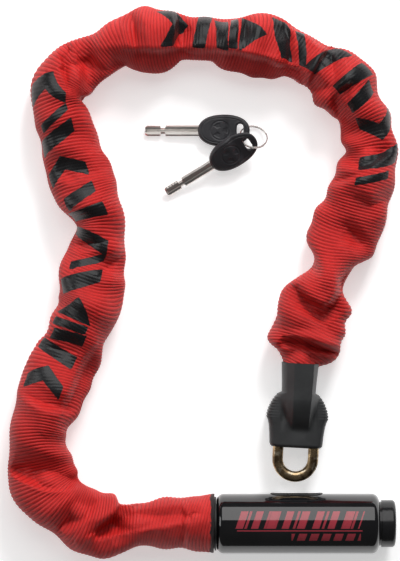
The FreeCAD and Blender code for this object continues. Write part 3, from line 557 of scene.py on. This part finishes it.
# Creases seen from above: places in mm, how deep, how wide on the left and on the right of the way
# the places run, and a ridge beside the crease (+: on the left, -: on the right).
CREASES = [
    ([(-126, -120), (-115, -124), (-103, -129), (-94, -130), (-79, -129)], 12.5, 14, 3.5, 0),
    ([(-94, -160), (-82, -151), (-68, -141)], 7, 9, 5, 0),
    ([(-68, -162), (-52, -158.5), (-37, -155.5), (-20, -152.5), (-9, -151)], 8, 7, 2, -1),
    ([(-54, -136), (-52, -144), (-56, -151), (-67, -160)], 8, 6, 2.2, -2.5),
    ([(-14, -149), (-13, -173)], 3, 2, 8, 0.5),
    ([(-88, -80), (-78, -60), (-71, -44)], 4.5, 3, 7, 1),
    ([(-115, -72), (-102, -78), (-82, -83)], 4.5, 7, 3.5, 0),
    ([(-110, -36), (-98, -43), (-88, -45)], 3, 8, 4, 0),
    ([(-104, 44), (-94, 33), (-86, 13)], 3.5, 5, 8, 0),
    ([(-64, 8), (-51, 20)], 3.5, 4, 6, 0),
    ([(-92, 30), (-80, 24), (-66, 26)], 3, 7, 4, 0),
    ([(-97, 72), (-85, 68), (-70, 72)], 3, 8, 4, 0),
    ([(-90, 138), (-86, 129), (-80, 118)], 8.5, 8, 2, -1.5),
    ([(-83, 137), (-75, 132), (-66, 127)], 5, 2.2, 5, 1.5),
    ([(-79, 144), (-71, 137), (-62, 131)], 6, 5, 3, 0),
    ([(-48, 175), (-44, 164), (-42, 148)], 6, 5, 5, 1),
    ([(-48, 149), (-30, 147.5), (-12, 149)], 4, 1.8, 6, 1.2),
    ([(-91, 161), (-87, 150), (-88, 140)], 4, 2.5, 5, 0),
    ([(-68, 86), (-59, 73)], 3.5, 5, 6, 0),
    ([(-18, 172), (-14, 162), (-16, 152)], 4, 5, 3, 0),
    ([(29, 173), (27, 166), (26, 156)], 4.5, 6, 4, 0),
    ([(8, 148), (30, 144.5), (45, 141), (61, 136)], 4.5, 1.8, 7, 1.2),
    ([(52, 168), (56, 156), (55, 143)], 4.5, 3, 6, 0),
    ([(84, 155), (77, 141), (68, 125)], 12, 12, 2.4, -1.5),
    ([(56, 169), (70, 160), (83, 151)], 4, 4, 2, -1),
    ([(96, 127), (84, 116)], 4.5, 4, 3, 1),
    ([(84, 117), (91, 103)], 4, 3, 5, 0),
    ([(88, 77), (103, 78), (122, 88)], 7, 12, 4, 0),
    ([(82, 65), (98, 69)], 4, 5, 2.2, -1),
    ([(94, 35), (104, 23)], 4, 5, 6, 0),
    ([(122, 54), (108, 50), (96, 55)], 3.5, 7, 5, 0),
    ([(60, -4.6), (65, -12), (72, -17), (78, -18.5), (84, -15.5), (88, -8), (90, 0)], 7.5, 3, 6, 1),
    ([(73, -23), (86, -34)], 2.5, 8, 5, 0),
    ([(52, -39), (67, -41), (92, -47)], 9, 3, 2.5, 2.5),
    ([(46, -43), (50, -52)], 3, 2.2, 2.2, 0),
    ([(60, -44), (66, -53)], 2.5, 2, 2, 0),
]


def nearest_on(places, x, y):
    """Distance to a run of places in plan, the side of it (+: left), and the share of its length."""
    best = np.full(x.shape, 1e9)
    side, at = np.zeros_like(x), np.zeros_like(x)
    length = sum(math.dist(a, b) for a, b in zip(places, places[1:]))
    gone = 0.0
    for a, b in zip(places, places[1:]):
        dx, dy = b[0] - a[0], b[1] - a[1]
        run = math.hypot(dx, dy)
        t = np.clip(((x - a[0]) * dx + (y - a[1]) * dy) / run**2, 0, 1)
        off_x, off_y = x - a[0] - t * dx, y - a[1] - t * dy
        away = np.hypot(off_x, off_y)
        nearer = away < best
        best = np.where(nearer, away, best)
        side = np.where(nearer, (dx * off_y - dy * off_x) / run, side)
        at = np.where(nearer, (gone + t * run) / length, at)
        gone += run
    return best, side, at


def crease_drop(x, y):
    """How far the creases and the turned-down panels lower the fabric at each place in plan."""
    drop = np.zeros_like(x)
    for places, deep, left, right, ridge in CREASES:
        best, side, at = nearest_on(places, x, y)
        ends = 0.3 + 0.7 * np.sin(math.pi * np.clip(at, 0.02, 0.98)) ** 0.5
        wide = 1.35 * np.where(side > 0, left, right)
        rest = 1 - best / wide
        valley = 0.5 * (rest + np.sqrt(rest**2 + 0.012)) - 0.006
        crest = 2.0 * (left if ridge > 0 else right)
        lifted = np.exp(-(((side * np.sign(ridge or 1) - crest) / (0.6 * crest)) ** 2)) * (best < 4 * crest)
        drop += ends * (CREASE_GAIN * deep * np.maximum(valley, 0) - abs(ridge) * lifted)
    for places, slope, limit, decay in PANELS:
        best, side, at = nearest_on(places, x, y)
        ends = np.sin(math.pi * np.clip(at, 0.04, 0.96)) ** 0.4
        down = np.maximum(-side, 0)
        drop += ends * limit * (1 - np.exp(-slope * down / limit)) * np.exp(-((best / decay) ** 3))
    return drop


def chain_tree():
    """All chain links as one tree for nearest points and rays."""
    points, faces = [], []
    for name, node in frame["nodes"].items():
        if name.startswith("link_"):
            first = len(points)
            points += [node.matrix_world @ v.co for v in node.data.vertices]
            faces += [tuple(first + i for i in face.vertices) for face in node.data.polygons]
    return BVHTree.FromPolygons(points, faces)


CHAIN = chain_tree()


def softened(grid, times):
    """Each value averaged with its neighbours along both axes, some times over."""
    for axis in (0, 1) * times:
        grid = (np.roll(grid, 1, axis) + 2 * grid + np.roll(grid, -1, axis)) / 4
    return grid


def chain_tops():
    """Heights of the chain's upper side on a 1 mm grid, spread as cloth lying over it spreads."""
    margin, ray_start, nothing, reach, fall = 20, 60, -30.0, 9, 1.25
    low, high = path[:, :2].min(axis=0) - margin, path[:, :2].max(axis=0) + margin
    xs, ys = np.arange(low[0], high[0]), np.arange(low[1], high[1])
    tops = np.full((len(xs), len(ys)), nothing)
    for i, x in enumerate(xs):
        for j, y in enumerate(ys):
            hit = CHAIN.ray_cast(spot(x, y, ray_start), (0, 0, -1))[0]
            if hit:
                tops[i, j] = hit.z / MM
    spread = tops.copy()
    for di in range(-reach, reach + 1):
        for dj in range(-reach, reach + 1):
            moved = np.roll(np.roll(tops, di, 0), dj, 1) - fall * math.hypot(di, dj)
            spread = np.maximum(spread, moved)
    return low, softened(spread, 2)


def above_chain(x, y, z, low, tops, clear=2.0):
    """Lifts heights smoothly so that they stay clear of the chain below."""
    i = np.clip((x - low[0]), 0, tops.shape[0] - 1.001)
    j = np.clip((y - low[1]), 0, tops.shape[1] - 1.001)
    i0, j0 = i.astype(int), j.astype(int)
    u, v = i - i0, j - j0
    floor_z = ((tops[i0, j0] * (1 - u) + tops[i0 + 1, j0] * u) * (1 - v)
               + (tops[i0, j0 + 1] * (1 - u) + tops[i0 + 1, j0 + 1] * u) * v) + clear
    gap = z - floor_z
    return 0.5 * (z + floor_z + np.sqrt(gap**2 + 1.2))


def gentle_waves(s, turn):
    """Slow unevenness of the cloth, the same each time."""
    rng = np.random.default_rng(11)
    total = np.zeros_like(s * turn)
    for _ in range(14):
        wave, lobes = rng.uniform(14, 60), rng.integers(0, 4)
        total += rng.uniform(0.12, 0.34) * np.sin(2 * math.pi * s / wave + lobes * turn + rng.uniform(0, 6.3))
    return total


def sleeve_surface():
    """The sleeve's points (rows by ROUND), with each point's length round the section from its top."""
    rows = len(ALONG)
    turn = np.linspace(-math.pi / 2, 3 * math.pi / 2, SECTION_POINTS + 1)[None, :]
    half = WIDTH[:, None] / 2
    top, peak = CREST[:, :1], CREST[:, 1:]
    waist = FLOOR_GAP + (top - FLOOR_GAP) * 0.45
    over = np.sin(turn) > 0
    power = np.where(over, peak, 2.6)
    out = half * powered(np.cos(turn), power)
    up = waist + np.where(over, top - waist, waist - FLOOR_GAP) * powered(np.sin(turn), power)
    out[:, -1], up[:, -1] = out[:, 0], up[:, 0]
    # equal lengths round each section
    lengths = np.cumsum(np.hypot(np.diff(out), np.diff(up)), axis=1)
    gone = np.concatenate([np.zeros((rows, 1)), lengths], axis=1)
    across, height, from_top = (np.zeros((rows, ROUND)) for _ in range(3))
    for i in range(rows):
        at = np.linspace(0, gone[i, -1], ROUND, endpoint=False)
        across[i] = np.interp(at, gone[i], out[i])
        height[i] = np.interp(at, gone[i], up[i])
        from_top[i] = at - gone[i, -1] / 2     # 0 at the top; the section starts and ends underneath
    x = path[:, :1] + ACROSS[:, :1] * across
    y = path[:, 1:2] + ACROSS[:, 1:2] * across
    share = np.clip((height - waist) / (top - waist), 0, 1) ** 0.6
    ends = np.clip(np.minimum(ALONG + 2, TOTAL - ALONG) / 8, 0, 1)[:, None]
    lowered = np.maximum(height - crease_drop(x, y) * share * ends, waist * 0.75)
    clear = above_chain(x, y, lowered, *chain_tops())
    upper = np.clip((height - waist) / 3.0, 0, 1)
    in_tube = np.clip((TOTAL - ALONG) / 3, 0, 1)[:, None] * upper
    height = np.where(height > waist, lowered + (clear - lowered) * in_tube, height)
    return x, y, height, from_top


X, Y, Z, V = sleeve_surface()
TURN = np.linspace(0, 2 * math.pi, ROUND, endpoint=False)[None, :]


def surface_normals(x, y, z):
    """Unit normals of the grid, outwards."""
    points = np.stack([x, y, z], -1)
    down = np.gradient(points, axis=0)
    around = np.roll(points, -1, axis=1) - np.roll(points, 1, axis=1)
    normal = np.cross(down, around)
    normal /= np.linalg.norm(normal, axis=2, keepdims=True) + 1e-9
    centre = points.mean(axis=1, keepdims=True)
    if ((points - centre) * normal).sum() < 0:
        normal = -normal
    return normal


# ---- the print: bold generic bars, wedges and chevrons, as polygons in mm along and across the sleeve

PRINT_LOW, PRINT_HIGH = -15.5, 12.5
PRINT_PITCH = 25.0
PRINT_STRETCHES = (((-103, -74), (-86, 139)), ((-30, 158), (101, 50)))     # from and to, in plan
PRINT_SIDE = 6.0      # the print's middle, towards the loop's outer side


def bar(at, lean, wide, low=PRINT_LOW, high=PRINT_HIGH):
    """A slanted bar across the sleeve."""
    return [(at - wide / 2 - lean, low), (at + wide / 2 - lean, low),
            (at + wide / 2 + lean, high), (at - wide / 2 + lean, high)]


def chevron(at, reach=9.0, wide=9.5, low=PRINT_LOW, high=PRINT_HIGH):
    middle = (low + high) / 2
    return [(at - reach, low), (at - reach + wide, low), (at + wide, middle),
            (at - reach + wide, high), (at - reach, high), (at, middle)]


def wedge(at, wide=17.0, low=-15.0, high=PRINT_HIGH):
    return [(at - wide / 2, low), (at + wide / 2, (low + high) / 2), (at - wide / 2, high)]


MOTIFS = {
    "chevron": lambda at: [chevron(at)],
    "bars": lambda at: [bar(at - 6, -1.5, 8.5), bar(at + 6.5, 2.0, 8.0, -10)],
    "wedge": lambda at: [wedge(at + 2), bar(at - 11, 1.0, 5.5, -13, 11)],
    "lean": lambda at: [bar(at - 4, 5.0, 9.5), bar(at + 8.5, 5.0, 5.5, -9)],
    "back": lambda at: [bar(at, -6.0, 10.0)],
}
MOTIF_ORDER = ["chevron", "bars", "wedge", "lean", "back", "bars", "chevron", "lean"]


def print_polygons():
    """The motifs, one after another along the printed stretches."""
    shapes = []
    for first, last in PRINT_STRETCHES:
        start, end = ALONG[where_along(first)] + 10, ALONG[where_along(last)] - 6
        for i, at in enumerate(np.arange(start, end, PRINT_PITCH)):
            shapes += MOTIFS[MOTIF_ORDER[i % len(MOTIF_ORDER)]](at)
    return shapes


def signed_reach(points, polygon):
    """Distance inside (+) or outside (-) a polygon, in mm."""
    px, py = points[..., 0], points[..., 1]
    best = np.full(px.shape, 1e9)
    inside = np.zeros(px.shape, bool)
    for (ax, ay), (bx, by) in zip(polygon, polygon[1:] + polygon[:1]):
        dx, dy = bx - ax, by - ay
        t = np.clip(((px - ax) * dx + (py - ay) * dy) / (dx * dx + dy * dy), 0, 1)
        best = np.minimum(best, np.hypot(px - ax - t * dx, py - ay - t * dy))
        crosses = (ay > py) != (by > py)
        with np.errstate(divide="ignore", invalid="ignore"):
            inside ^= crosses & (px < (bx - ax) * (py - ay) / (by - ay) + ax)
    return np.where(inside, best, -best)


def print_reach():
    """How far each point of the sleeve is inside (+) or outside (-) the print, in mm."""
    reach = np.full(X.shape, -9.0)
    s = np.broadcast_to(ALONG[:, None], X.shape)
    points = np.stack([s, PRINT_SIDE + V], -1)
    for polygon in print_polygons():
        xs = [p[0] for p in polygon]
        rows = np.flatnonzero((ALONG > min(xs) - 4) & (ALONG < max(xs) + 4))
        reach[rows] = np.maximum(reach[rows], signed_reach(points[rows], polygon))
    return np.clip(reach, -3, 3)


def push_out(normal, by):
    """Moves the sleeve's points along their normals."""
    global X, Y, Z
    X, Y, Z = X + normal[..., 0] * by, Y + normal[..., 1] * by, Z + normal[..., 2] * by


MOST_PUSH, PUSH_STEP = 7, 0.3     # how far a point may be moved off the chain, and in what steps, mm
SEARCH = 5 * MM                   # how far off the chain's surface is looked for


def off_chain(normal, clear):
    """How far each point must move outwards to be clear of the chain."""
    out = np.zeros(X.shape)
    for i in range(X.shape[0]):
        for j in range(X.shape[1]):
            start, way = spot(X[i, j], Y[i, j], Z[i, j]), Vector(normal[i, j]) * MM
            while out[i, j] < MOST_PUSH:
                place = start + way * out[i, j]
                near, wall, _, _ = CHAIN.find_nearest(place, SEARCH)
                gap = SEARCH if near is None else (place - near).length
                if gap > clear * MM and (near is None or (place - near).dot(wall) > 0):
                    break
                out[i, j] += PUSH_STEP
    return out


def rib_phase():
    """Where each point is among the ribs, which lean a little as the cloth turns on the chain."""
    lean = 0.22 * np.sin(ALONG / 41.0 + 0.7) + 0.14 * np.sin(ALONG / 17.0)
    bow = 0.010 * np.sin(ALONG / 29.0 + 2.0)
    leaning = lean[:, None] * V * np.clip(1 - np.abs(V) / 55, 0, 1)
    return (ALONG[:, None] + leaning + bow[:, None] * V**2 * 0.5) / RIB


def finish_sleeve():
    """Gives the sleeve its waves, room for the chain, ribs and the film of the print."""
    global Z
    print_mm = print_reach()
    normal = surface_normals(X, Y, Z)
    ends = np.clip(np.minimum(ALONG, TOTAL - ALONG) / 10, 0, 1)[:, None]
    push_out(normal, gentle_waves(ALONG[:, None], TURN) * ends * np.clip(Z / 8, 0, 1))
    away = off_chain(normal, 1.4)
    for _ in range(3):
        spread = [0.92 * np.roll(away, by, axis) for axis in (0, 1) for by in (-1, 1)]
        away = np.maximum.reduce([away] + spread)
    push_out(normal, softened(away, 4))
    rib = np.abs(np.sin(math.pi * rib_phase())) ** 0.8
    inked = np.clip(print_mm / 0.6 + 0.5, 0, 1)
    normal = surface_normals(X, Y, Z)
    push_out(normal, RIB_DEEP * (rib - 0.6) * (1 - 0.75 * inked) + 0.12 * inked)
    Z = np.maximum(Z, 0.08)
    push_out(normal, off_chain(normal, 0.4))
    return print_mm, rib


PRINT_MM, RIB_SHARE = finish_sleeve()


def sleeve_piece(number, first, last):
    """One stretch of the sleeve, from row first to row last."""
    rows = last - first + 1
    stretch = slice(first, last + 1)
    points = np.stack([X[stretch], Y[stretch], Z[stretch]], -1).reshape(-1, 3) * MM
    piece = new_piece(f"sleeve_stretch_{number:02d}", points, ring_faces(rows, ROUND), WEBBING)
    mesh = piece.data
    for name, values in (("print_mm", PRINT_MM), ("rib", RIB_SHARE)):
        layer = mesh.attributes.new(name, "FLOAT", "POINT")
        layer.data.foreach_set("value", values[stretch].reshape(-1).astype(np.float32))
    uv = mesh.uv_layers.new(name="cloth")
    corner = np.zeros(len(mesh.loops), np.int32)
    mesh.loops.foreach_get("vertex_index", corner)
    flat = np.stack([np.broadcast_to(ALONG[stretch][:, None], V[stretch].shape), V[stretch]], -1)
    uv.data.foreach_set("uv", (flat.reshape(-1, 2)[corner] * MM).astype(np.float32).reshape(-1))
    return piece


middles = [where_along((HINGES[k - 1] + HINGES[k]) / 2) for k in range(2, LINKS)]
STOPS = [0] + middles + [len(ALONG) - 1]
for k in range(1, LINKS):
    first, last = STOPS[k - 1], STOPS[k]
    piece = sleeve_piece(k, first, last)
    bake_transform(piece)
    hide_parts(f"sleeve_{min((k + 1) // 2, 11):02d}")

# ---------------------------- the boot and the end link

END_LOOP = np.array([59.702, -113.36, 14.5])     # middle of the open end of the link, mm
IN_BOOT = (END_LOOP - HINGES[23])[:2]
IN_BOOT /= np.linalg.norm(IN_BOOT)
BOOT_TOP = HINGES[23][:2] + 9.0 * IN_BOOT
LINK_MIDDLE = 14.5                               # height of the end link's axis


def from_boot(u, w, z):
    """Points given along the boot, across it and above the table, in the frame in metres."""
    x = BOOT_TOP[0] + IN_BOOT[0] * u - IN_BOOT[1] * w
    y = BOOT_TOP[1] + IN_BOOT[1] * u + IN_BOOT[0] * w
    return np.stack([x, y, z + 0 * x], -1).reshape(-1, 3) * MM


BOOT_HALF = np.array([
    (0, 11.9), (12, 11.1), (19.2, 10.8), (20.2, 12.6), (22, 14.1), (24.5, 15.9), (27, 17.2), (30.5, 18.6),
    (34, 19.4), (37, 19.3), (41, 18.2), (47, 17.5), (53, 17.1), (55.2, 17.0),
])
BOOT_TOPS, BOOT_SIDE, BOOT_UNDER = 96, 8, 24      # points over the top, down each side and underneath
BOOT_FAR = 55.1                                   # the boot's end, towards the end link
FLARE_ROUND, RIM_ROUND, FOOT_ROUND = 2.4, 3.4, 2.2      # radii of its end, its top edges and its bottom edges


def dent_at(u, w, at_u, at_w, long, wide):
    """A smooth round hollow of depth 1."""
    return dent(u, at_u, long) * dent(w, at_w, wide)


def quarter_round(beyond, radius):
    """How far a rounded edge falls, at a distance past where its arc starts."""
    return radius - np.sqrt(np.maximum(radius**2 - beyond**2, 0))


def boot_height(u, w, half):
    """The boot's upper side: a flat spine with a broad left bevel, wings and a lower body."""
    spine = 29.0 - 8.5 * np.clip((u - 23.0) / 20.0, 0, 1.4) ** 1.7
    left_foot, right_foot = -3.9 + 0.02 * u, 8.6 - 0.03 * u
    spine = spine - np.maximum(left_foot - w, 0) * 1.05 - np.maximum(w - right_foot, 0) * 1.9
    wings = 18.8 * step(u, 17.5, 22) + 1.9 * (1 - (w / half) ** 2)
    blend = 0.9
    top = 0.5 * (spine + wings + np.sqrt((spine - wings) ** 2 + blend))
    top -= 1.3 * dent_at(u, w, 35, -9.3, 6.0, 1.7) + 0.8 * dent_at(u, w, 35, 11.2, 6.0, 1.5)
    return top - 0.5 * dent_at(u, w, 43.5, 1.8, 4.0, 7.0)


def make_boot():
    rounding = BOOT_FAR - FLARE_ROUND
    us = np.concatenate([
        np.linspace(0, 19, 20), np.linspace(19.3, 38, 100), np.linspace(38.4, rounding, 46),
        BOOT_FAR - FLARE_ROUND * (1 - np.sin(np.linspace(0.08, math.pi / 2, 14))),
    ])
    knurl = step(us, 20, 21) * (1 - step(us, 36.5, 37.5)) * np.abs(np.sin(math.pi * (us - 20) / 1.85)) ** 0.8
    inset = quarter_round(np.maximum(us - rounding, 0), FLARE_ROUND)
    half = np.interp(us, *BOOT_HALF.T) + 0.75 * knurl - inset
    angles = np.linspace(-math.pi / 2, math.pi / 2, BOOT_TOPS)
    rings = []
    for u, h, k, off in zip(us, half, knurl, inset):
        w = np.sin(angles) * h
        rim = np.maximum(np.abs(w) - (h - RIM_ROUND), 0)
        z = boot_height(u, w, h) - quarter_round(rim, RIM_ROUND) - off + 0.3 * k * (rim / RIM_ROUND) ** 5
        side = np.linspace(z[-1], FOOT_ROUND + 0.3, BOOT_SIDE + 2)[1:-1]
        under_w = np.linspace(h - 0.2, -(h - 0.2), BOOT_UNDER)
        foot = np.maximum(np.abs(under_w) - (h - FOOT_ROUND), 0)
        under_z = 0.15 + quarter_round(foot, FOOT_ROUND) + 0.6 * off
        other = np.linspace(FOOT_ROUND + 0.3, z[0], BOOT_SIDE + 2)[1:-1]
        ring_w = np.concatenate([w, np.full(BOOT_SIDE, h), under_w, np.full(BOOT_SIDE, -h)])
        ring_z = np.concatenate([z, side, under_z, other])
        rings.append(from_boot(np.full(len(ring_w), u), ring_w, ring_z))
    return new_piece("boot", np.concatenate(rings), tube_faces(len(rings), len(rings[0])), RUBBER, 50)


boot = make_boot()
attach(boot, "chain_end")
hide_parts("end_boot")


def swept(name, path, side, up, section, material, joined):
    """A bar of one section along a path of points, with a side and an up vector at each."""
    rings = [p + section[:, :1] * s + section[:, 1:] * t for p, s, t in zip(path, side, up)]
    faces = tube_faces(len(rings), len(section), joined)
    return new_piece(name, np.concatenate(rings), faces, material)


def rounded(half, power, count=40):
    """A rounded square section."""
    turn = np.linspace(0, 2 * math.pi, count, endpoint=False)
    return half * np.stack([powered(np.cos(turn), power), powered(np.sin(turn), power)], 1)


def make_end_link():
    near, far, radius = 33.6, 62.4, 11.5      # middles of its two bends along the boot, and their radius
    bend = np.linspace(-math.pi / 2, math.pi / 2, 60)
    straight = np.linspace(near, far, 30)[1:-1]
    level, side = np.zeros(28), np.ones(28)
    out_u = np.concatenate([np.cos(bend), level, -np.cos(bend), level])
    out_w = np.concatenate([np.sin(bend), side, -np.sin(bend), -side])
    middle = np.concatenate([np.full(60, far), straight[::-1], np.full(60, near), straight])
    u, w = middle + radius * out_u, radius * out_w
    path = from_boot(u, w, LINK_MIDDLE)
    outward = from_boot(u + out_u, w + out_w, LINK_MIDDLE) - path
    up = np.broadcast_to([0, 0, MM], outward.shape)
    return swept("forged_end_link", path, outward, up, rounded(3.5, 2.7), GOLD, True)


forged = make_end_link()
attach(forged, "chain_end")
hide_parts("end_link")

# ---------------------------- the keys and their ring


def key_frame(hole, heading, rise, roll):
    """The turn and place of a key whose frame is at its ring hole."""
    turn = (Matrix.Rotation(math.radians(heading), 4, "Z") @ Matrix.Rotation(math.radians(-rise), 4, "Y")
            @ Matrix.Rotation(math.radians(roll), 4, "X"))
    return Matrix.Translation(Vector(hole)) @ turn


def turned(vectors, place):
    return vectors * MM @ np.array(place.to_3x3()).T


def placed(points, place):
    return turned(points, place) + np.array(place.translation)


BOW_MIDDLE, BOW_LONG, BOW_WIDE = -11.0, 17.0, 10.5     # half sizes of the bow, mm
BOW_POWER = 2.25                                       # a little squarer than an ellipse
SLOT_MIDDLE, SLOT_HALF, SLOT_R = -0.3, 2.2, 2.2        # the ring hole: a slot across the bow, mm
EMBLEM, EMBLEM_R = -13.2, 6.2


def bow_height(x, y, inward, to_slot):
    """Half the bow's thickness: a rounded edge, a line inside it, a round emblem, a thinner eye."""
    full = 1.3 + 1.4 * (1 - step(x, -12.0, -6.4))
    edge = 2.3
    z = full - quarter_round(np.maximum(edge - inward, 0), edge) * (full - 0.35) / edge
    far, turn = np.hypot(x - EMBLEM, y), np.arctan2(y, x - EMBLEM)
    petals = step(np.cos(3 * turn), 0.1, 0.35) * step(far, 1.8, 2.3) * (1 - step(far, 4.6, 5.1))
    z -= 0.28 * dent(inward, 2.5, 0.3) + 0.3 * dent(far, EMBLEM_R, 0.3)
    z -= 0.28 * petals + 0.06 * (far < EMBLEM_R)
    return z - 0.35 * (1 - step(to_slot, 0.0, 0.8)) + 0.15 * dent(to_slot, 1.2, 0.5)


def make_bow(name, place):
    """The key's head: rings of points from its outline in to its slot, on both faces."""
    around, across = 200, 64
    turn = np.linspace(0, 2 * math.pi, around, endpoint=False)
    c, s = np.cos(turn), np.sin(turn)
    outer = np.stack([BOW_MIDDLE + BOW_LONG * powered(c, BOW_POWER), BOW_WIDE * powered(s, BOW_POWER)], 1)
    inner = np.stack([SLOT_MIDDLE + SLOT_R * c, SLOT_HALF * np.tanh(4 * s) + SLOT_R * s], 1)
    shares = 1 - np.cos(np.linspace(0, math.pi / 2, across))
    shares = np.concatenate([shares[shares < 0.5], np.linspace(0.5, 1, across // 2)])
    upper, lower = [], []
    for share in shares:
        x, y = (outer * (1 - share) + inner * share).T
        scaled = (np.abs((x - BOW_MIDDLE) / BOW_LONG) ** BOW_POWER
                  + np.abs(y / BOW_WIDE) ** BOW_POWER) ** (1 / BOW_POWER)
        inward = (1 - scaled) * np.hypot(x - BOW_MIDDLE, y) / np.maximum(scaled, 0.05)
        to_slot = np.hypot(x - SLOT_MIDDLE, y - np.clip(y, -SLOT_HALF, SLOT_HALF)) - SLOT_R
        z = bow_height(x, y, inward, to_slot)
        upper.append(np.column_stack([x, y, z]))
        lower.append(np.column_stack([x, y, -z]))
    loop = upper + lower[::-1]
    faces = tube_faces(len(loop), around, joined=True)
    return new_piece(name, placed(np.concatenate(loop), place), faces, BOW_BLACK, 55)


def make_blade(name, place):
    """A flat blade with a groove down each face, a waist behind its head and bevelled edges."""
    root, tip = -24.0, -62.5
    corners = tip + np.array([9.9, 10.0, 10.4, 13.0, 13.4, 13.5])
    xs = np.unique(np.concatenate([np.linspace(tip, root, 120), tip + np.linspace(0, 1.2, 8), corners]))
    waist = step(xs, tip + 9.9, tip + 10.4) * (1 - step(xs, tip + 13.0, tip + 13.5))
    wave = 0.22 * np.sin((xs - tip) * 1.5) ** 2 * (xs < tip + 9.5)
    half = 3.5 - 1.5 * waist - np.maximum(1.0 - (xs - tip), 0) - wave
    groove = step(xs, tip + 0.2, tip + 1.0) * 0.75
    rings = []
    for x, h, g in zip(xs, half, groove):
        top = [(-h, 0.5), (-h + 1.0, 1.15), (-0.9, 1.05), (-0.5, 1.15 - g), (0.4, 1.15 - g),
               (0.8, 0.95), (h - 1.0, 1.15), (h, 0.5)]
        ring = np.array(top + [(y, -z) for y, z in reversed(top)])
        rings.append(np.column_stack([np.full(len(ring), x), ring]))
    faces = tube_faces(len(rings), len(rings[0]))
    return new_piece(name, placed(np.concatenate(rings), place), faces, NICKEL, 25)


KEY_LIE = {"key_1": (0, 3.53, 0), "key_2": (31, 7.95, 24.65)}     # heading, rise and roll, degrees
for label, (heading, rise, roll) in KEY_LIE.items():
    place = key_frame(JOINTS[f"{label}_swing"]["pos_m"], heading, rise, roll)
    for kind, maker, slot in (("bow", make_bow, "plastic"), ("blade", make_blade, "metal")):
        piece = maker(f"{label}_{kind}_shape", place)
        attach(piece, label)
        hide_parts(f"{label}_{kind}")


def make_ring():
    """A split ring: two turns of thin wire, one on the other."""
    place = (Matrix.Translation(spot(32.63, 94.88, 6.67)) @ Matrix.Rotation(math.radians(-13.55), 4, "Z")
             @ Matrix.Rotation(math.radians(-38.0), 4, "X"))
    radius, wire_half = 9.0, 0.4
    share = np.linspace(0, 1, 360)
    turn = 4 * math.pi * share + 0.6
    offset = wire_half * (2 * np.clip((share - 0.5) * 9 + 0.5, 0, 1) - 1)
    out = np.stack([np.cos(turn), np.sin(turn), 0 * turn], 1)
    axis = np.broadcast_to([0.0, 0.0, 1.0], out.shape)
    path = radius * out + offset[:, None] * axis
    return swept("split_ring_wire", placed(path, place), turned(out, place), turned(axis, place),
                 rounded(wire_half, 2.6, 14), RING_STEEL, False)


wire = make_ring()
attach(wire, "key_ring")
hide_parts("split_ring")

# ---------------------------- floor

FLOOR_HALF, FLOOR_Z = 3, -0.0005
paper = Look("floor_white", (0.74, 0.74, 0.74), 0.9, Emission_Color=(1, 1, 1, 1), Emission_Strength=0.52)
floor_corners = [(x * FLOOR_HALF, y * FLOOR_HALF, FLOOR_Z) for x, y in ((-1, -1), (1, -1), (1, 1), (-1, 1))]
floor = new_piece("floor", floor_corners, [(0, 1, 2, 3)], paper.material)
